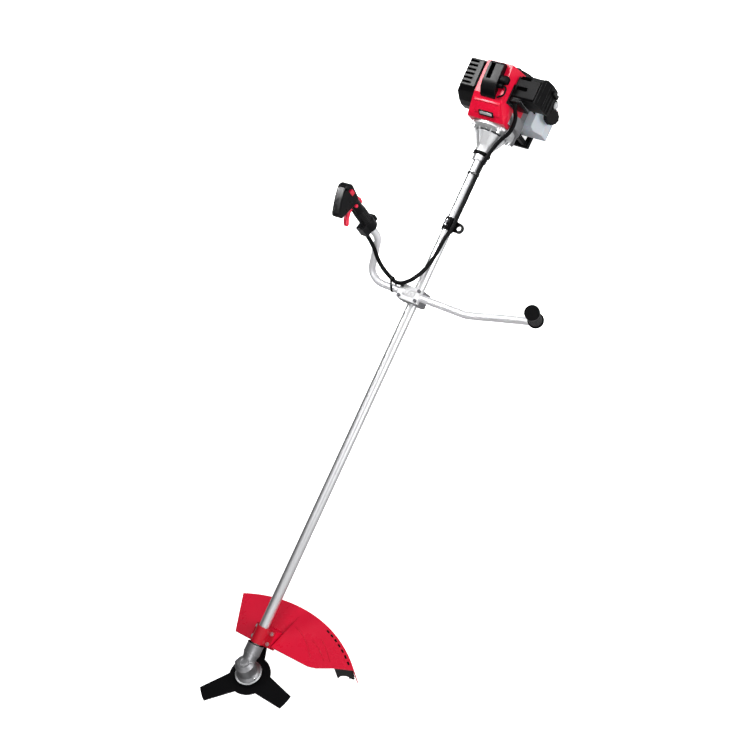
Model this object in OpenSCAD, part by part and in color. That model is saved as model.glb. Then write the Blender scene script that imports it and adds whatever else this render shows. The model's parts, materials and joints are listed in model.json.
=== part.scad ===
// Brush mower: a two-stroke engine, a straight drive tube, a bevel gear head with a
// three-tooth blade, and a bull-horn handlebar.
// Frame: +X runs along the drive tube towards the blade, +Y is the operator's left, +Z is up.
// The origin is the centre of the harness eye. The tool lies level, as it does when it is
// set down: on the foot of its tank stand and on the rear rim of its blade guard.

/* [Drive tube] */
// Outer diameter of the drive tube
tube_d = 26; // [25:0.5:28]
// Wall of the drive tube
tube_wall = 1.5; // [1:0.25:2.5]
// Length of the drive tube
tube_len = 1390; // [1300:10:1500]
// Diameter of the drive shaft inside the tube
drive_shaft_d = 8; // [7:0.5:10]
// Plastic bushes that carry the drive shaft
bush_count = 5; // [3:1:7]
// Length of one bush
bush_len = 40; // [25:5:60]

/* [Harness clamp] */
// Diameter of the harness eye
eye_d = 12.8; // [10:0.2:14]
// Distance of the eye from the tube's axis
eye_reach = 30; // [28:1:36]
// Distance from the eye back to the lip of the clutch housing
eye_to_housing = 202; // [180:1:230]
// Length of the harness band along the tube
eye_band_len = 34; // [28:1:40]
// Thickness of the eye plate
eye_plate = 5; // [4:0.5:7]

/* [Gear head and blade] */
// Angle between the blade and the tube
spindle_tilt = 31.5; // [28:0.5:36]
// Distance from the tube's axis down the spindle to the middle of the blade
blade_drop = 44; // [42:0.5:50]
// Diameter over the tips of the blade
blade_d = 255; // [230:5:255]
// Thickness of the blade
blade_t = 2.5; // [1.6:0.2:3.2]
// Width of a blade tooth at its tip
tooth_tip_w = 40; // [32:1:46]
// Width of a blade tooth at its root
tooth_root_w = 62; // [56:1:70]
// Radius of the blade's body between its teeth
blade_body_r = 54; // [48:1:58]
// Diameter of the blade's centre hole
blade_bore_d = 25.4; // [20:0.1:25.4]
// Outer diameter of the gear case's neck
neck_d = 42; // [38:1:46]
// Teeth on the pinion
pinion_teeth = 15; // [12:1:18]
// Teeth on the bevel gear
gear_teeth = 20; // [18:1:24]

/* [Blade guard] */
// Radius of the guard's rim where it is closest to the spindle
guard_r = 198; // [190:1:215]
// Extra radius for each square degree that the rim runs on to the left
guard_spread = 0.0145; // [0.01:0.0005:0.017]
// Right-hand end of the rim, in degrees from straight back
guard_from = -42; // [-50:1:-36]
// Left-hand end of the rim, in degrees from straight back
guard_to = 62; // [52:1:68]
// Wall of the guard
guard_wall = 3; // [2.5:0.25:4]
// Height of the guard's top sheet above the blade
guard_lift = 53; // [50:1:58]
// Depth that the guard's skirt hangs below its top sheet
guard_skirt = 61; // [54:1:62]
// Length of the guard's clamp along the tube
guard_clamp_len = 43; // [36:1:50]
// How far the guard's left wing stands up beside the saddle
wing_rise = 14; // [10:1:18]
// Slots along the left part of the guard's rim
rim_slots = 7; // [4:1:7]

/* [Handlebar] */
// Distance from the eye forward to the handlebar
bar_x = 203; // [150:1:300]
// Diameter of the handlebar's tube
bar_d = 19; // [19:0.5:22]
// Wall of the handlebar's tube
bar_wall = 1.5; // [1:0.25:2.5]
// Height of the handlebar above the drive tube's axis
bar_rise = 30; // [28:1:36]
// Diameter of the left grip
grip_d = 35; // [30:1:38]
// Length of the left grip
grip_len = 124; // [110:1:135]
// Size of the handlebar clamp along the bar
clamp_w = 64; // [60:1:72]
// Size of the handlebar clamp along the drive tube
clamp_l = 38; // [38:1:44]

/* [Throttle handle] */
// Diameter of the ribbed hand grip
hand_d = 33; // [31:1:36]
// Width of the handle's head, from side to side
head_w = 30; // [26:1:36]
// Ribs moulded round the hand grip
grip_ribs = 7; // [4:1:9]

/* [Engine] */
// Length of the clutch housing
housing_len = 73; // [66:1:80]
// Radius of the clutch housing's flange
flange_r = 56; // [54:1:60]
// Radius of the fan housing
fan_case_r = 66; // [64:1:70]
// Depth of the fan housing
fan_case_len = 36; // [32:1:40]
// Distance from the engine's front face back to the cylinder's axis
cylinder_x = 70; // [66:1:76]
// Cooling fins on the cylinder
fin_count = 9; // [6:1:11]
// Thickness of a cooling fin
fin_t = 2; // [1.5:0.25:2.5]
// Radius of the recoil starter's cover
starter_r = 55; // [52:1:58]
// Fan blades on the flywheel
vane_count = 16; // [10:1:20]
// Radius of the flywheel with its fan
fan_r = 52; // [48:1:56]

/* [Covers and tank] */
// Width of the engine shroud at its foot
shroud_w = 106; // [100:1:112]
// Wall of the plastic covers
cover_wall = 2.5; // [2:0.25:3.5]
// Slots in the top of the muffler cover
muffler_slots = 6; // [4:1:8]
// Width of the fuel tank
tank_w = 160; // [150:1:170]
// Length of the fuel tank
tank_l = 84; // [80:1:88]
// Height of the fuel tank
tank_h = 70; // [60:1:74]
// Diameter of the fuel cap
cap_d = 40; // [34:1:44]

/* [Throttle cable] */
// Diameter of the cable's sleeve
cable_d = 9; // [7:0.5:10]

/* [Hidden] */

// Roundness of true curves, and of the children of a hull
$fn = 64;
hull_fn = 32;
// Radial room of a piece that is held in or on another
fit = 0.05;
// Room between pieces that lie close together
air = 0.3;
// How far a cutting shape passes the face that it cuts
over = 1;

// Stations along the tube, measured from the eye
housing_front_x = -eye_to_housing;
socket_depth = 24;
tube_rear_x = housing_front_x - socket_depth;
tube_front_x = tube_rear_x + tube_len;
neck_grip = 14;
neck_start_x = tube_front_x - neck_grip;
pinion_back = 47;
gear_x = tube_front_x + pinion_back;
guard_gap = 3;
guard_clamp_x = neck_start_x - guard_gap - guard_clamp_len;
engine_x = housing_front_x - housing_len;

module on_shaft(x = 0) translate([x, -eye_reach, 0]) children();
module along_x(x = 0) on_shaft(x) rotate([0, 90, 0]) children();
module at_spindle(h = 0) on_shaft(gear_x) rotate([0, -spindle_tilt, 0])
    translate([0, 0, h]) children();
// The engine's own frame: its front face is at 0 and it runs back to negative X
module in_engine(x = 0) on_shaft(engine_x + x) children();
module engine_turned(x = 0) in_engine(x) rotate([0, 90, 0]) children();

module ring(od, id, h) difference() {
    cylinder(d = od, h = h);
    translate([0, 0, -over]) cylinder(d = id, h = h + 2 * over);
}
module at_each(points) for (p = points) translate(p) children();

function unit(v) = v / norm(v);

// A tube that follows a chain of corners, each rounded to its own radius
function bend_angle(p, i) = acos(unit(p[i] - p[i - 1]) * unit(p[i + 1] - p[i]));
function bend_points(p, r, i, steps) = let (
    d0 = unit(p[i] - p[i - 1]),
    d1 = unit(p[i + 1] - p[i]),
    half = bend_angle(p, i) / 2,
    start = p[i] - d0 * r[i] * tan(half),
    centre = p[i] + unit(d1 - d0) * r[i] / cos(half),
    u = unit(start - centre))
    [for (k = [0 : steps]) centre + r[i] * (u * cos(2 * half * k / steps) + d0 * sin(2 * half * k / steps))];
function bent_route(p, r, steps) = concat([p[0]],
    [for (i = [1 : len(p) - 2]) for (q = bend_points(p, r, i, steps)) q], [p[len(p) - 1]]);
function heading(p, i) = unit(p[min(i + 1, len(p) - 1)] - p[max(i - 1, 0)]);
function upright(v, t) = unit(v - (v * t) * t);
function frames(p, v, i = 0) = let (u = upright(v, heading(p, i)))
    i == len(p) - 1 ? [u] : concat([u], frames(p, u, i + 1));
function rings(p, f, r, sides) = [for (i = [0 : len(p) - 1]) let (s = cross(heading(p, i), f[i]))
    for (k = [0 : sides - 1]) p[i] + (f[i] * cos(360 * k / sides) + s * sin(360 * k / sides)) * r];
function wall(n, sides, at, out) = [for (i = [0 : n - 2]) for (k = [0 : sides - 1]) let (
    a = at + i * sides + k, b = at + i * sides + (k + 1) % sides)
    out ? [a, a + sides, b + sides, b] : [a, b, b + sides, a + sides]];
module swept_rod(p, d, sides, start = [1, 0, 0]) polyhedron(rings(p, frames(p, start), d / 2, sides),
    concat(wall(len(p), sides, 0, true), [[for (k = [0 : sides - 1]) k]],
        [[for (k = [sides - 1 : -1 : 0]) (len(p) - 1) * sides + k]]), convexity = 8);
module swept_tube(p, od, id, sides, start = [1, 0, 0]) {
    f = frames(p, start);
    m = len(p) * sides;
    last = m - sides;
    polyhedron(concat(rings(p, f, od / 2, sides), rings(p, f, id / 2, sides)), concat(
        wall(len(p), sides, 0, true), wall(len(p), sides, m, false),
        [for (k = [0 : sides - 1]) let (n = (k + 1) % sides) [k, n, m + n, m + k]],
        [for (k = [0 : sides - 1]) let (n = (k + 1) % sides) [last + n, last + k, m + last + k, m + last + n]]),
        convexity = 8);
}

// Drive line
bush_r = tube_d / 2 - tube_wall - fit;
bush_span = tube_len - 2 * socket_depth - bush_len;
shaft_rear_x = engine_x + 26;
shaft_front_x = tube_front_x + 18;

module drive_tube() color("silver") along_x(tube_rear_x)
    ring(tube_d, tube_d - 2 * tube_wall, tube_len);
module tube_bushes() color("dimgray")
    for (i = [0 : bush_count - 1])
        along_x(tube_rear_x + socket_depth + i * bush_span / (bush_count - 1))
            ring(2 * bush_r, drive_shaft_d + 2 * fit, bush_len);
module drive_shaft() color("gray") along_x(shaft_rear_x)
    cylinder(d = drive_shaft_d, h = shaft_front_x - shaft_rear_x);

// Gear head
neck_r = neck_d / 2;
case_r = 25;
case_top = 12;
case_foot = -30;
case_flange_r = 30;
case_flange_t = 5;
dome_r = 13.5;
spindle_d = 10;
spindle_bearing_od = 35;
spindle_bearing_h = 8;
pinion_bearing_od = 24;
pinion_bearing_h = 8;
pinion_hub_d = 12;
plug_side = 11;
plug_h = -6;
// Bevel pair: the pitch cones of both wheels meet where the two axes cross
pair_angle = 90 + spindle_tilt;
gear_cone = atan2(sin(pair_angle), pinion_teeth / gear_teeth + cos(pair_angle));
pinion_cone = pair_angle - gear_cone;
cone_out = 16.5;
cone_in = 11;
mesh_gap = 0.2;
tooth_gap = 1.2;
function cone_r(l, angle) = l * sin(angle);
function cone_h(l, angle) = l * cos(angle);
module tooth_spaces(count, r) for (i = [0 : count - 1]) rotate(360 * i / count)
    translate([3, -tooth_gap / 2, 0]) cube([r, tooth_gap, 30]);
gear_room_r = 18.5;
bearings_top = case_foot + 2 * spindle_bearing_h + 0.2;

module gear_case() color("dimgray") difference() {
    union() {
        along_x(neck_start_x) cylinder(r = neck_r, h = 26);
        along_x(neck_start_x + 26) cylinder(r1 = neck_r, r2 = neck_r - 3, h = 10);
        along_x(neck_start_x + 36) cylinder(r = neck_r - 3, h = gear_x - neck_start_x - 36);
        at_spindle(case_foot) cylinder(r = case_r, h = case_top - case_foot);
        at_spindle(case_foot) cylinder(r = case_flange_r, h = case_flange_t);
        at_spindle(case_foot + case_flange_t) cylinder(r1 = case_flange_r, r2 = case_r, h = 4);
        at_spindle(case_top) cylinder(r1 = case_r, r2 = dome_r + 3, h = 7);
        at_spindle(case_top + 7) cylinder(r = dome_r, h = 4);
        at_spindle(plug_h) rotate([90, 0, 0]) cylinder(d = 15, h = case_r + 5);
    }
    along_x(neck_start_x - over) cylinder(d = tube_d + 2 * fit, h = neck_grip + over + 0.2);
    along_x(tube_front_x) cylinder(d = pinion_bearing_od + 2 * fit, h = 28);
    along_x(tube_front_x + 27) cylinder(r = 13.5, h = pinion_back - 27);
    at_spindle(case_foot - over) cylinder(d = spindle_bearing_od + 2 * fit, h = bearings_top - case_foot + over);
    at_spindle(bearings_top - over) cylinder(r = gear_room_r, h = case_top - bearings_top + over - 4);
    at_spindle(plug_h) rotate([90, 0, 0]) cylinder(d = 8 + 2 * fit, h = case_r + 6);
}
module grease_plug() color("gray") at_spindle(plug_h) rotate([90, 0, 0]) {
    translate([0, 0, case_r + 5.1]) cylinder(d = plug_side, h = 4, $fn = 6);
    translate([0, 0, gear_room_r + 1]) cylinder(d = 8, h = case_r + 5 - gear_room_r);
}
module bearing(od, id, h) {
    ring(od, od - 6, h);
    ring(id + 5, id + 2 * fit, h);
    translate([0, 0, 1]) ring(od - 5, id + 4, h - 2);
}
module head_bearings() color("silver") for (i = [0, 1]) {
    along_x(tube_front_x + 3 + i * 12) bearing(pinion_bearing_od, pinion_hub_d, pinion_bearing_h);
    at_spindle(case_foot + 0.1 + i * spindle_bearing_h)
        bearing(spindle_bearing_od, spindle_d, spindle_bearing_h - 0.1);
}
pinion_out_x = gear_x - cone_h(cone_out, pinion_cone) - mesh_gap;
pinion_in_x = gear_x - cone_h(cone_in, pinion_cone) - mesh_gap;
module bevel_pinion() color("gray") difference() {
    union() {
        along_x(pinion_out_x) difference() {
            cylinder(r1 = cone_r(cone_out, pinion_cone), r2 = cone_r(cone_in, pinion_cone),
                h = pinion_in_x - pinion_out_x);
            tooth_spaces(pinion_teeth, 20);
            translate([0, 0, -over]) cylinder(r = 5, h = 20);
        }
        along_x(pinion_out_x) cylinder(r = 7, h = pinion_in_x - pinion_out_x - 0.5);
        along_x(pinion_out_x - 4) cylinder(r = cone_r(cone_out, pinion_cone), h = 4);
        along_x(tube_front_x + 1) cylinder(d = pinion_hub_d, h = pinion_out_x - tube_front_x - 2);
    }
    along_x(tube_front_x) cylinder(d = drive_shaft_d + 2 * fit, h = 20);
}
gear_out_h = -cone_h(cone_out, gear_cone) - mesh_gap;
gear_in_h = -cone_h(cone_in, gear_cone) - mesh_gap;
spindle_foot = -blade_drop - 20;
module bevel_gear() color("gray") {
    at_spindle(gear_out_h) difference() {
        cylinder(r1 = cone_r(cone_out, gear_cone), r2 = cone_r(cone_in, gear_cone), h = gear_in_h - gear_out_h);
        translate([0, 0, -10]) tooth_spaces(gear_teeth, 20);
    }
    at_spindle(gear_out_h - 4) cylinder(r = cone_r(cone_out, gear_cone), h = 4);
    at_spindle(bearings_top + 0.3) cylinder(r = 9, h = gear_in_h - bearings_top - 0.3);
    at_spindle(spindle_foot) cylinder(d = spindle_d, h = gear_in_h - spindle_foot);
}
holder_top = case_foot - 0.5;
blade_top = -blade_drop + blade_t / 2;
module blade_holder() color("silver") at_spindle(blade_top) difference() {
    union() {
        cylinder(r = 24.5, h = holder_top - blade_top - 2);
        cylinder(r = 13, h = holder_top - blade_top);
    }
    translate([0, 0, -over]) cylinder(d = spindle_d + 2 * fit, h = 60);
    for (a = [0 : 90 : 270]) rotate(a) translate([21, -3, 4]) cube([6, 6, 6]);
}
tooth_count = 3;
tooth_phase = -34.5;
module blade_outline() difference() {
    union() {
        circle(r = blade_body_r, $fn = 96);
        intersection() {
            circle(d = blade_d, $fn = 128);
            for (i = [0 : tooth_count - 1]) rotate(tooth_phase + i * 360 / tooth_count)
                polygon([[10, -tooth_root_w / 2], [blade_d / 2, -tooth_tip_w / 2],
                    [blade_d / 2, tooth_tip_w / 2], [10, tooth_root_w / 2]]);
        }
    }
    circle(d = blade_bore_d);
}
module blade() color("black") at_spindle(-blade_drop - blade_t / 2)
    linear_extrude(blade_t) blade_outline();
module blade_washer() color("silver") at_spindle(-blade_drop - blade_t / 2 - 7) difference() {
    union() {
        cylinder(r1 = 18, r2 = 30, h = 5);
        translate([0, 0, 5]) cylinder(r = 30, h = 2);
        translate([0, 0, 7]) cylinder(d = blade_bore_d - 2 * fit, h = blade_t - fit);
    }
    translate([0, 0, -over]) cylinder(d = spindle_d + 2 * fit, h = 20);
}
module blade_nut() color("silver") at_spindle(-blade_drop - blade_t / 2 - 17) difference() {
    union() {
        cylinder(d = 19, h = 9, $fn = 6);
        translate([0, 0, 8]) cylinder(d = 20, h = 2);
    }
    translate([0, 0, -over]) cylinder(d = spindle_d + 2 * fit, h = 20);
}

// Blade guard, drawn in the blade's own plane: the outline is a spiral rim and a front edge
function rim_r(a) = guard_r + guard_spread * pow(a + 12, 2);
function rim_point(a, inset) = [-(rim_r(a) - inset) * cos(a), (rim_r(a) - inset) * sin(a)];
rim_steps = 24;
function rim(inset) = [for (i = [0 : rim_steps])
    rim_point(guard_to + i * (guard_from - guard_to) / rim_steps, inset)];
guard_front = [[-60, -84], [-66, 20], [-78, 138], [-86, 160], [-108, 196]];
saddle_half_w = 30;
flange_drop = 16;
saddle_t = 4;
// The left wing is a tilted facet: it rises from a line across the sheet to a wall beside the saddle
wing_y = saddle_half_w + 3;
wing_root = [-185, wing_y];
wing_tip = [-80, 152];
wing_turn = atan2(wing_tip.y - wing_root.y, wing_tip.x - wing_root.x);
wing_tilt = atan(wing_rise / ((guard_front[1].x - wing_root.x) * sin(wing_turn)));
module left_of(y, w) polygon([[0, y], [-300, y], [-300, y + w], [0, y + w]]);
module guard_outline() polygon(concat(guard_front, rim(0)));
module wing_slab(t) translate([wing_root.x, wing_root.y, guard_wall]) rotate(wing_turn) rotate([-wing_tilt, 0, 0])
    translate([-60, -200, -t]) cube([300, 200 + guard_wall, t]);
module wing_part(w, t) intersection() {
    linear_extrude(60) intersection() {
        guard_outline();
        left_of(wing_y, w);
    }
    wing_slab(t);
}
module guard_sheet() {
    difference() {
        linear_extrude(guard_wall) guard_outline();
        translate([0, 0, -over]) linear_extrude(guard_wall + 2 * over) polygon([[0, wing_y + guard_wall],
            [wing_root.x + guard_wall + 1, wing_y + guard_wall], [wing_tip.x, wing_tip.y - 1], [0, wing_tip.y - 1]]);
        for (i = [0 : rim_slots - 1]) let (a = 34 + i * 4) translate(rim_point(a, 9)) rotate(rim_heading(a))
            translate([-5.5, -2.2, -over]) cube([11, 4.4, guard_wall + 2 * over]);
    }
    wing_part(300, guard_wall);
    wing_part(guard_wall, 60);
}
module guard_skirt_wall() linear_extrude(guard_skirt) difference() {
    guard_outline();
    polygon(concat([for (p = guard_front) [p.x + 60, p.y * 1.4]], rim(guard_wall)));
    polygon([[20, -300], [20, 300], [guard_front[0].x - 30, 300],
        [guard_front[0].x - 30, guard_front[0].y], [guard_front[0].x, -300]]);
}
module guard_saddle() difference() {
    on_shaft() translate([guard_clamp_x, -saddle_half_w, -60])
        cube([guard_clamp_len, 2 * saddle_half_w, 60 - flange_drop]);
    on_shaft() translate([guard_clamp_x + saddle_t, -saddle_half_w + saddle_t, -61])
        cube([guard_clamp_len - 2 * saddle_t, 2 * (saddle_half_w - saddle_t), 61 - flange_drop - saddle_t]);
    at_spindle(-blade_drop + guard_lift - 100.5) translate([-300, -200, 0]) cube([400, 400, 100]);
}
module guard_shell() color("red") difference() {
    union() {
        at_spindle(-blade_drop + guard_lift - guard_wall) guard_sheet();
        at_spindle(-blade_drop + guard_lift - guard_skirt) guard_skirt_wall();
        guard_saddle();
        on_shaft() translate([guard_clamp_x, -15, -flange_drop])
            cube([guard_clamp_len, 30, flange_drop - 5]);
    }
    along_x(guard_clamp_x - 40) cylinder(d = tube_d + 2 * fit, h = guard_clamp_len + 90);
    for (s = guard_screw_spots) on_shaft() translate([s.x, s.y, -60]) cylinder(d = 5.2, h = 60);
}
guard_screw_spots = [for (dx = [8, guard_clamp_len - 8]) for (y = [6.5 - saddle_half_w, saddle_half_w - 6.5]) [guard_clamp_x + dx, y]];
bracket_wall = 4;
module guard_bracket() color("darkred") difference() {
    union() {
        along_x(guard_clamp_x) cylinder(d = tube_d + 2 * bracket_wall, h = guard_clamp_len);
        on_shaft() translate([guard_clamp_x, -tube_d / 2 - bracket_wall, -flange_drop + air])
            cube([guard_clamp_len, tube_d + 2 * bracket_wall, flange_drop]);
        on_shaft() translate([guard_clamp_x, -saddle_half_w, -flange_drop])
            cube([guard_clamp_len, 2 * saddle_half_w, 4]);
    }
    along_x(guard_clamp_x - over) cylinder(d = tube_d + 2 * fit, h = guard_clamp_len + 2 * over);
    on_shaft() translate([guard_clamp_x - over, -15 - fit, -40])
        cube([guard_clamp_len + 2 * over, 30 + 2 * fit, 40]);
    for (s = guard_screw_spots) on_shaft() translate([s.x, s.y, -60]) cylinder(d = 5.2, h = 60);
}
module guard_screws() color("silver") for (s = guard_screw_spots)
    on_shaft() translate([s.x, s.y, -flange_drop + 4]) {
        cylinder(d = 10, h = 3.4);
        translate([0, 0, -11]) cylinder(d = 5, h = 11);
    }
cutter_a = guard_to - 6;
function rim_slope(a) = 2 * guard_spread * (a + 12) * 180 / PI;
function rim_heading(a) = atan2(rim_slope(a) * sin(a) + rim_r(a) * cos(a), rim_r(a) * sin(a) - rim_slope(a) * cos(a));
cutter_in = 1.2;
end_turn = atan2(rim_point(guard_to, 0).y - guard_front[4].y, rim_point(guard_to, 0).x - guard_front[4].x);
module line_cutter() color("black") {
    at_spindle(-blade_drop + guard_lift - guard_skirt) cutter_knife();
    at_spindle(-blade_drop + guard_lift - guard_wall - air)
        translate([guard_front[4].x, guard_front[4].y, 0]) rotate(end_turn) difference() {
            translate([2, 1, -46]) cube([44, 3, 46]);
            translate([23, -over, -50]) rotate([-90, 0, 0]) cylinder(r = 17, h = 6);
        }
}
module cutter_knife()
    translate(rim_point(cutter_a, guard_wall + cutter_in)) rotate(rim_heading(cutter_a) - 180) difference() {
        union() {
            translate([-16, 0, 4]) cube([34, 3, 26]);
            translate([-16, 0, 4]) cube([34, 14, 3]);
            translate([14, 0, -6]) cube([2, 20, 20]);
        }
        translate([-6, -over, 14]) cube([12, 5, 8]);
    }

// Handlebar: corners from the throttle end to the left end, relative to the clamp
lean_right = unit([-0.258, -0.185, 0.947]);
lean_left = unit([0.05, 0.296, 0.954]);
bar_corner_r = [-92, -99.5, 91.6];
bar_corner_l = [-33, 372, 69];
hand_tube = 108;
grip_start = 22;
bar_points = [bar_corner_r + hand_tube * lean_right, bar_corner_r, [0, -129, 0],
    [0, 165, 0], bar_corner_l, bar_corner_l + (grip_start + grip_len - 6) * lean_left];
bar_bends = [0, 42, 34, 60, 34, 0];
module on_bar() on_shaft(bar_x) translate([0, 0, bar_rise]) children();
bar_sides = 24;
bar_turns = 6;
module handlebar() color("silver") on_bar()
    swept_tube(bent_route(bar_points, bar_bends, bar_turns), bar_d, bar_d - 2 * bar_wall, bar_sides);

// Handlebar clamp: a cap over the bar, a middle between bar and tube, a base under the tube
clamp_bolt_d = 5;
clamp_bolt_x = bar_d / 2 + clamp_bolt_d / 2 + 1;
clamp_bolt_y = clamp_w / 2 - 7;
clamp_spots = [for (sx = [-1, 1]) for (sy = [-1, 1]) [sx * clamp_bolt_x, sy * clamp_bolt_y, 0]];
cap_h = bar_d / 2 + 4.5;
base_h = tube_d / 2 + 5;
split = 0.5;
module clamp_block(z0, z1, w) difference() {
    translate([-clamp_l / 2, -w / 2, z0]) cube([clamp_l, w, z1 - z0]);
    for (p = clamp_spots) translate([p.x, p.y, z0 - over]) cylinder(d = clamp_bolt_d + 0.4, h = z1 - z0 + 2 * over);
}
module bar_bore() translate([0, -clamp_w, bar_rise]) rotate([-90, 0, 0])
    cylinder(d = bar_d + 2 * fit, h = 2 * clamp_w);
module tube_bore() translate([-clamp_l, 0, 0]) rotate([0, 90, 0])
    cylinder(d = tube_d + 2 * fit, h = 2 * clamp_l);
module clamp_cap() color("silver") on_shaft(bar_x) difference() {
    union() {
        clamp_block(bar_rise + split, bar_rise + cap_h - 3, clamp_w);
        translate([0, -clamp_w / 2 + 15, bar_rise]) rotate([-90, 0, 0])
            cylinder(r = cap_h, h = clamp_w - 30);
    }
    translate([-clamp_l, -clamp_w, bar_rise - 40]) cube([2 * clamp_l, 2 * clamp_w, 40 + split]);
    bar_bore();
    for (y = [-8, 0, 8]) translate([-20, y - 1.5, bar_rise + cap_h - 1.6]) cube([40, 3, 5]);
}
module clamp_middle() color("silver") on_shaft(bar_x) difference() {
    clamp_block(split, bar_rise - split, clamp_w);
    bar_bore();
    tube_bore();
}
module clamp_base() color("dimgray") on_shaft(bar_x) difference() {
    clamp_block(-base_h, -split, clamp_w);
    tube_bore();
    for (s = [-1, 1]) translate([-clamp_l, s * (clamp_w / 2 + 9) - 20, -base_h - over])
        cube([2 * clamp_l, 40, base_h - 7]);
}
module clamp_bolts() color("gainsboro") {
    on_shaft(bar_x) at_each(clamp_spots) {
        translate([0, 0, bar_rise + cap_h - 3]) cylinder(d = 9.2, h = 4.5, $fn = 6);
        translate([0, 0, -6]) cylinder(d = clamp_bolt_d, h = bar_rise + cap_h + 3);
    }
    on_shaft(band_x) {
        translate([0, 0, band_r + 3.6]) cylinder(d = 9.2, h = 4.5, $fn = 6);
        translate([0, 0, tube_d / 2 + air]) cylinder(d = clamp_bolt_d, h = 10);
    }
}

// Left grip: a ribbed rubber sleeve with a flared end
module at_bar_end(corner, lean) on_bar() {
    f = unit([1, 0, 0] - lean.x * lean);
    s = cross(lean, f);
    multmatrix([[f.x, s.x, lean.x, corner.x], [f.y, s.y, lean.y, corner.y],
        [f.z, s.z, lean.z, corner.z]]) children();
}
grip_r = grip_d / 2;
module left_grip() color("black") at_bar_end(bar_corner_l, lean_left) translate([0, 0, grip_start])
    rotate_extrude() difference() {
        polygon(concat([[0, 0], [grip_r, 0], [grip_r + 1.5, 3], [grip_r + 1.5, 6], [grip_r - 3, 10]],
            [for (i = [0 : 7]) for (q = [[grip_r - 3, 2], [grip_r - 2, 3], [grip_r - 2, 9], [grip_r - 3, 10]])
                [q.x, 12 + i * 12 + q.y]],
            [[grip_r - 3, grip_len - 8], [grip_r, grip_len - 5], [grip_r, grip_len], [0, grip_len]]));
        translate([0, -over]) square([bar_d / 2 + fit, grip_len - 6 + over + fit]);
    }

// Throttle handle, drawn in its own frame: x forward, y towards the operator's left, z up the grip
hand_r = hand_d / 2;
foot_z = 38;
grip_z = 70;
head_z = 128;
slot_w = 11;
rib_pitch = 5;
trigger_pivot = [14, 0, 131];
lock_pivot = [-9, 0, 139];
latch_at = [6, 0, 133];
switch_at = [-6, 0, 170];
switch_travel = 6;
module pin_y(p, r, w) translate(p) rotate([90, 0, 0]) translate([0, 0, -w / 2]) cylinder(r = r, h = w);
module rounded_bar(x, z, r) translate([x, 0, z]) rotate([90, 0, 0]) {
    translate([0, 0, -head_w / 2]) cylinder(r = r - 3, h = head_w, $fn = hull_fn);
    translate([0, 0, -head_w / 2 + 3]) cylinder(r = r, h = head_w - 6, $fn = hull_fn);
}
module handle_head() hull() {
    rounded_bar(0, 149, 15);
    rounded_bar(-4, 177, 16);
    rounded_bar(17, 166, 16);
    rounded_bar(48, 151, 10);
}
module handle_grip() rotate_extrude() polygon(concat(
    [[0, foot_z], [hand_r - 1, foot_z], [hand_r + 2, foot_z + 4], [hand_r + 2, grip_z - 4], [hand_r - 1, grip_z]],
    [for (i = [0 : grip_ribs - 1]) for (q = [[hand_r - 1, 1], [hand_r, 1.6], [hand_r, 3.4], [hand_r - 1, 4]])
        [q.x, grip_z + i * rib_pitch + q.y]],
    [[hand_r - 1, head_z + 14], [0, head_z + 14]]));
module handle_shells() color("black") at_bar_end(bar_corner_r, lean_right) {
    pin_y(trigger_pivot, 2, slot_w + 2);
    pin_y(lock_pivot, 1.5, 12);
    handle_body();
}
module handle_body() difference() {
    union() {
        handle_grip();
        handle_head();
        translate([8, -12, foot_z + 2]) cube([21, 24, 28]);
        translate([-24, -9, foot_z + 8]) cube([16, 18, 16]);
    }
    translate([0, 0, foot_z - over]) cylinder(d = bar_d + 2 * fit, h = hand_tube - foot_z + over + fit);
    // Slot of the trigger
    translate([7, -slot_w / 2, 112]) cube([46, slot_w, 32]);
    // Slot of the lock-out lever
    translate([-30, -5, 112]) cube([24, 10, 33]);
    // Hole of the latch button and window of the stop switch, both on the inner side
    translate(latch_at) rotate([-90, 0, 0]) translate([0, 0, 7]) cylinder(d = 8 + 2 * fit, h = 20);
    translate([switch_at.x - 5.3, 8, switch_at.z - 8.3]) cube([10.6, 20, 12.6 + switch_travel]);
    // Gland of the cable
    translate([22, 0, foot_z - 4]) cylinder(d = cable_d + 2 * air, h = 18);
    // Screw seats on the inner side
    for (p = [[-17, 55], [2, 187]]) translate([p.x, head_w / 2, p.y]) rotate([90, 0, 0]) cylinder(d = 6, h = 8);
}
module linear_slab(points, w) rotate([90, 0, 0]) translate([0, 0, -w / 2])
    linear_extrude(w) polygon(points);
module throttle_trigger() color("red") at_bar_end(bar_corner_r, lean_right) difference() {
    union() {
        pin_y(trigger_pivot, 5.5, 9);
        linear_slab([[11, 127], [22, 125], [36, 117], [45, 107], [50, 105], [54, 110], [46, 122],
            [30, 132], [16, 136]], 9);
    }
    pin_y(trigger_pivot, 2 + fit, 20);
}
module throttle_lockout() color("red") at_bar_end(bar_corner_r, lean_right) difference() {
    linear_slab([[-12, 143], [-6.5, 141], [-7, 136], [-12, 119], [-16, 113.5], [-20, 114], [-22, 126],
        [-18, 139]], 8);
    pin_y(lock_pivot, 1.5 + fit, 20);
}
module latch_button() color("red") at_bar_end(bar_corner_r, lean_right) translate(latch_at)
    rotate([-90, 0, 0]) translate([0, 0, 10]) cylinder(d = 8, h = head_w / 2 - 10 + 3);
module stop_switch() color("red") at_bar_end(bar_corner_r, lean_right) difference() {
    translate([switch_at.x - 5, 8 + air, switch_at.z - 8]) cube([10, head_w / 2 - 8 + 2, 12]);
    for (z = [-6, -3, 0]) translate([switch_at.x - 6, head_w / 2 + 1.2, switch_at.z + z]) cube([12, 2, 1.2]);
}

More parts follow.
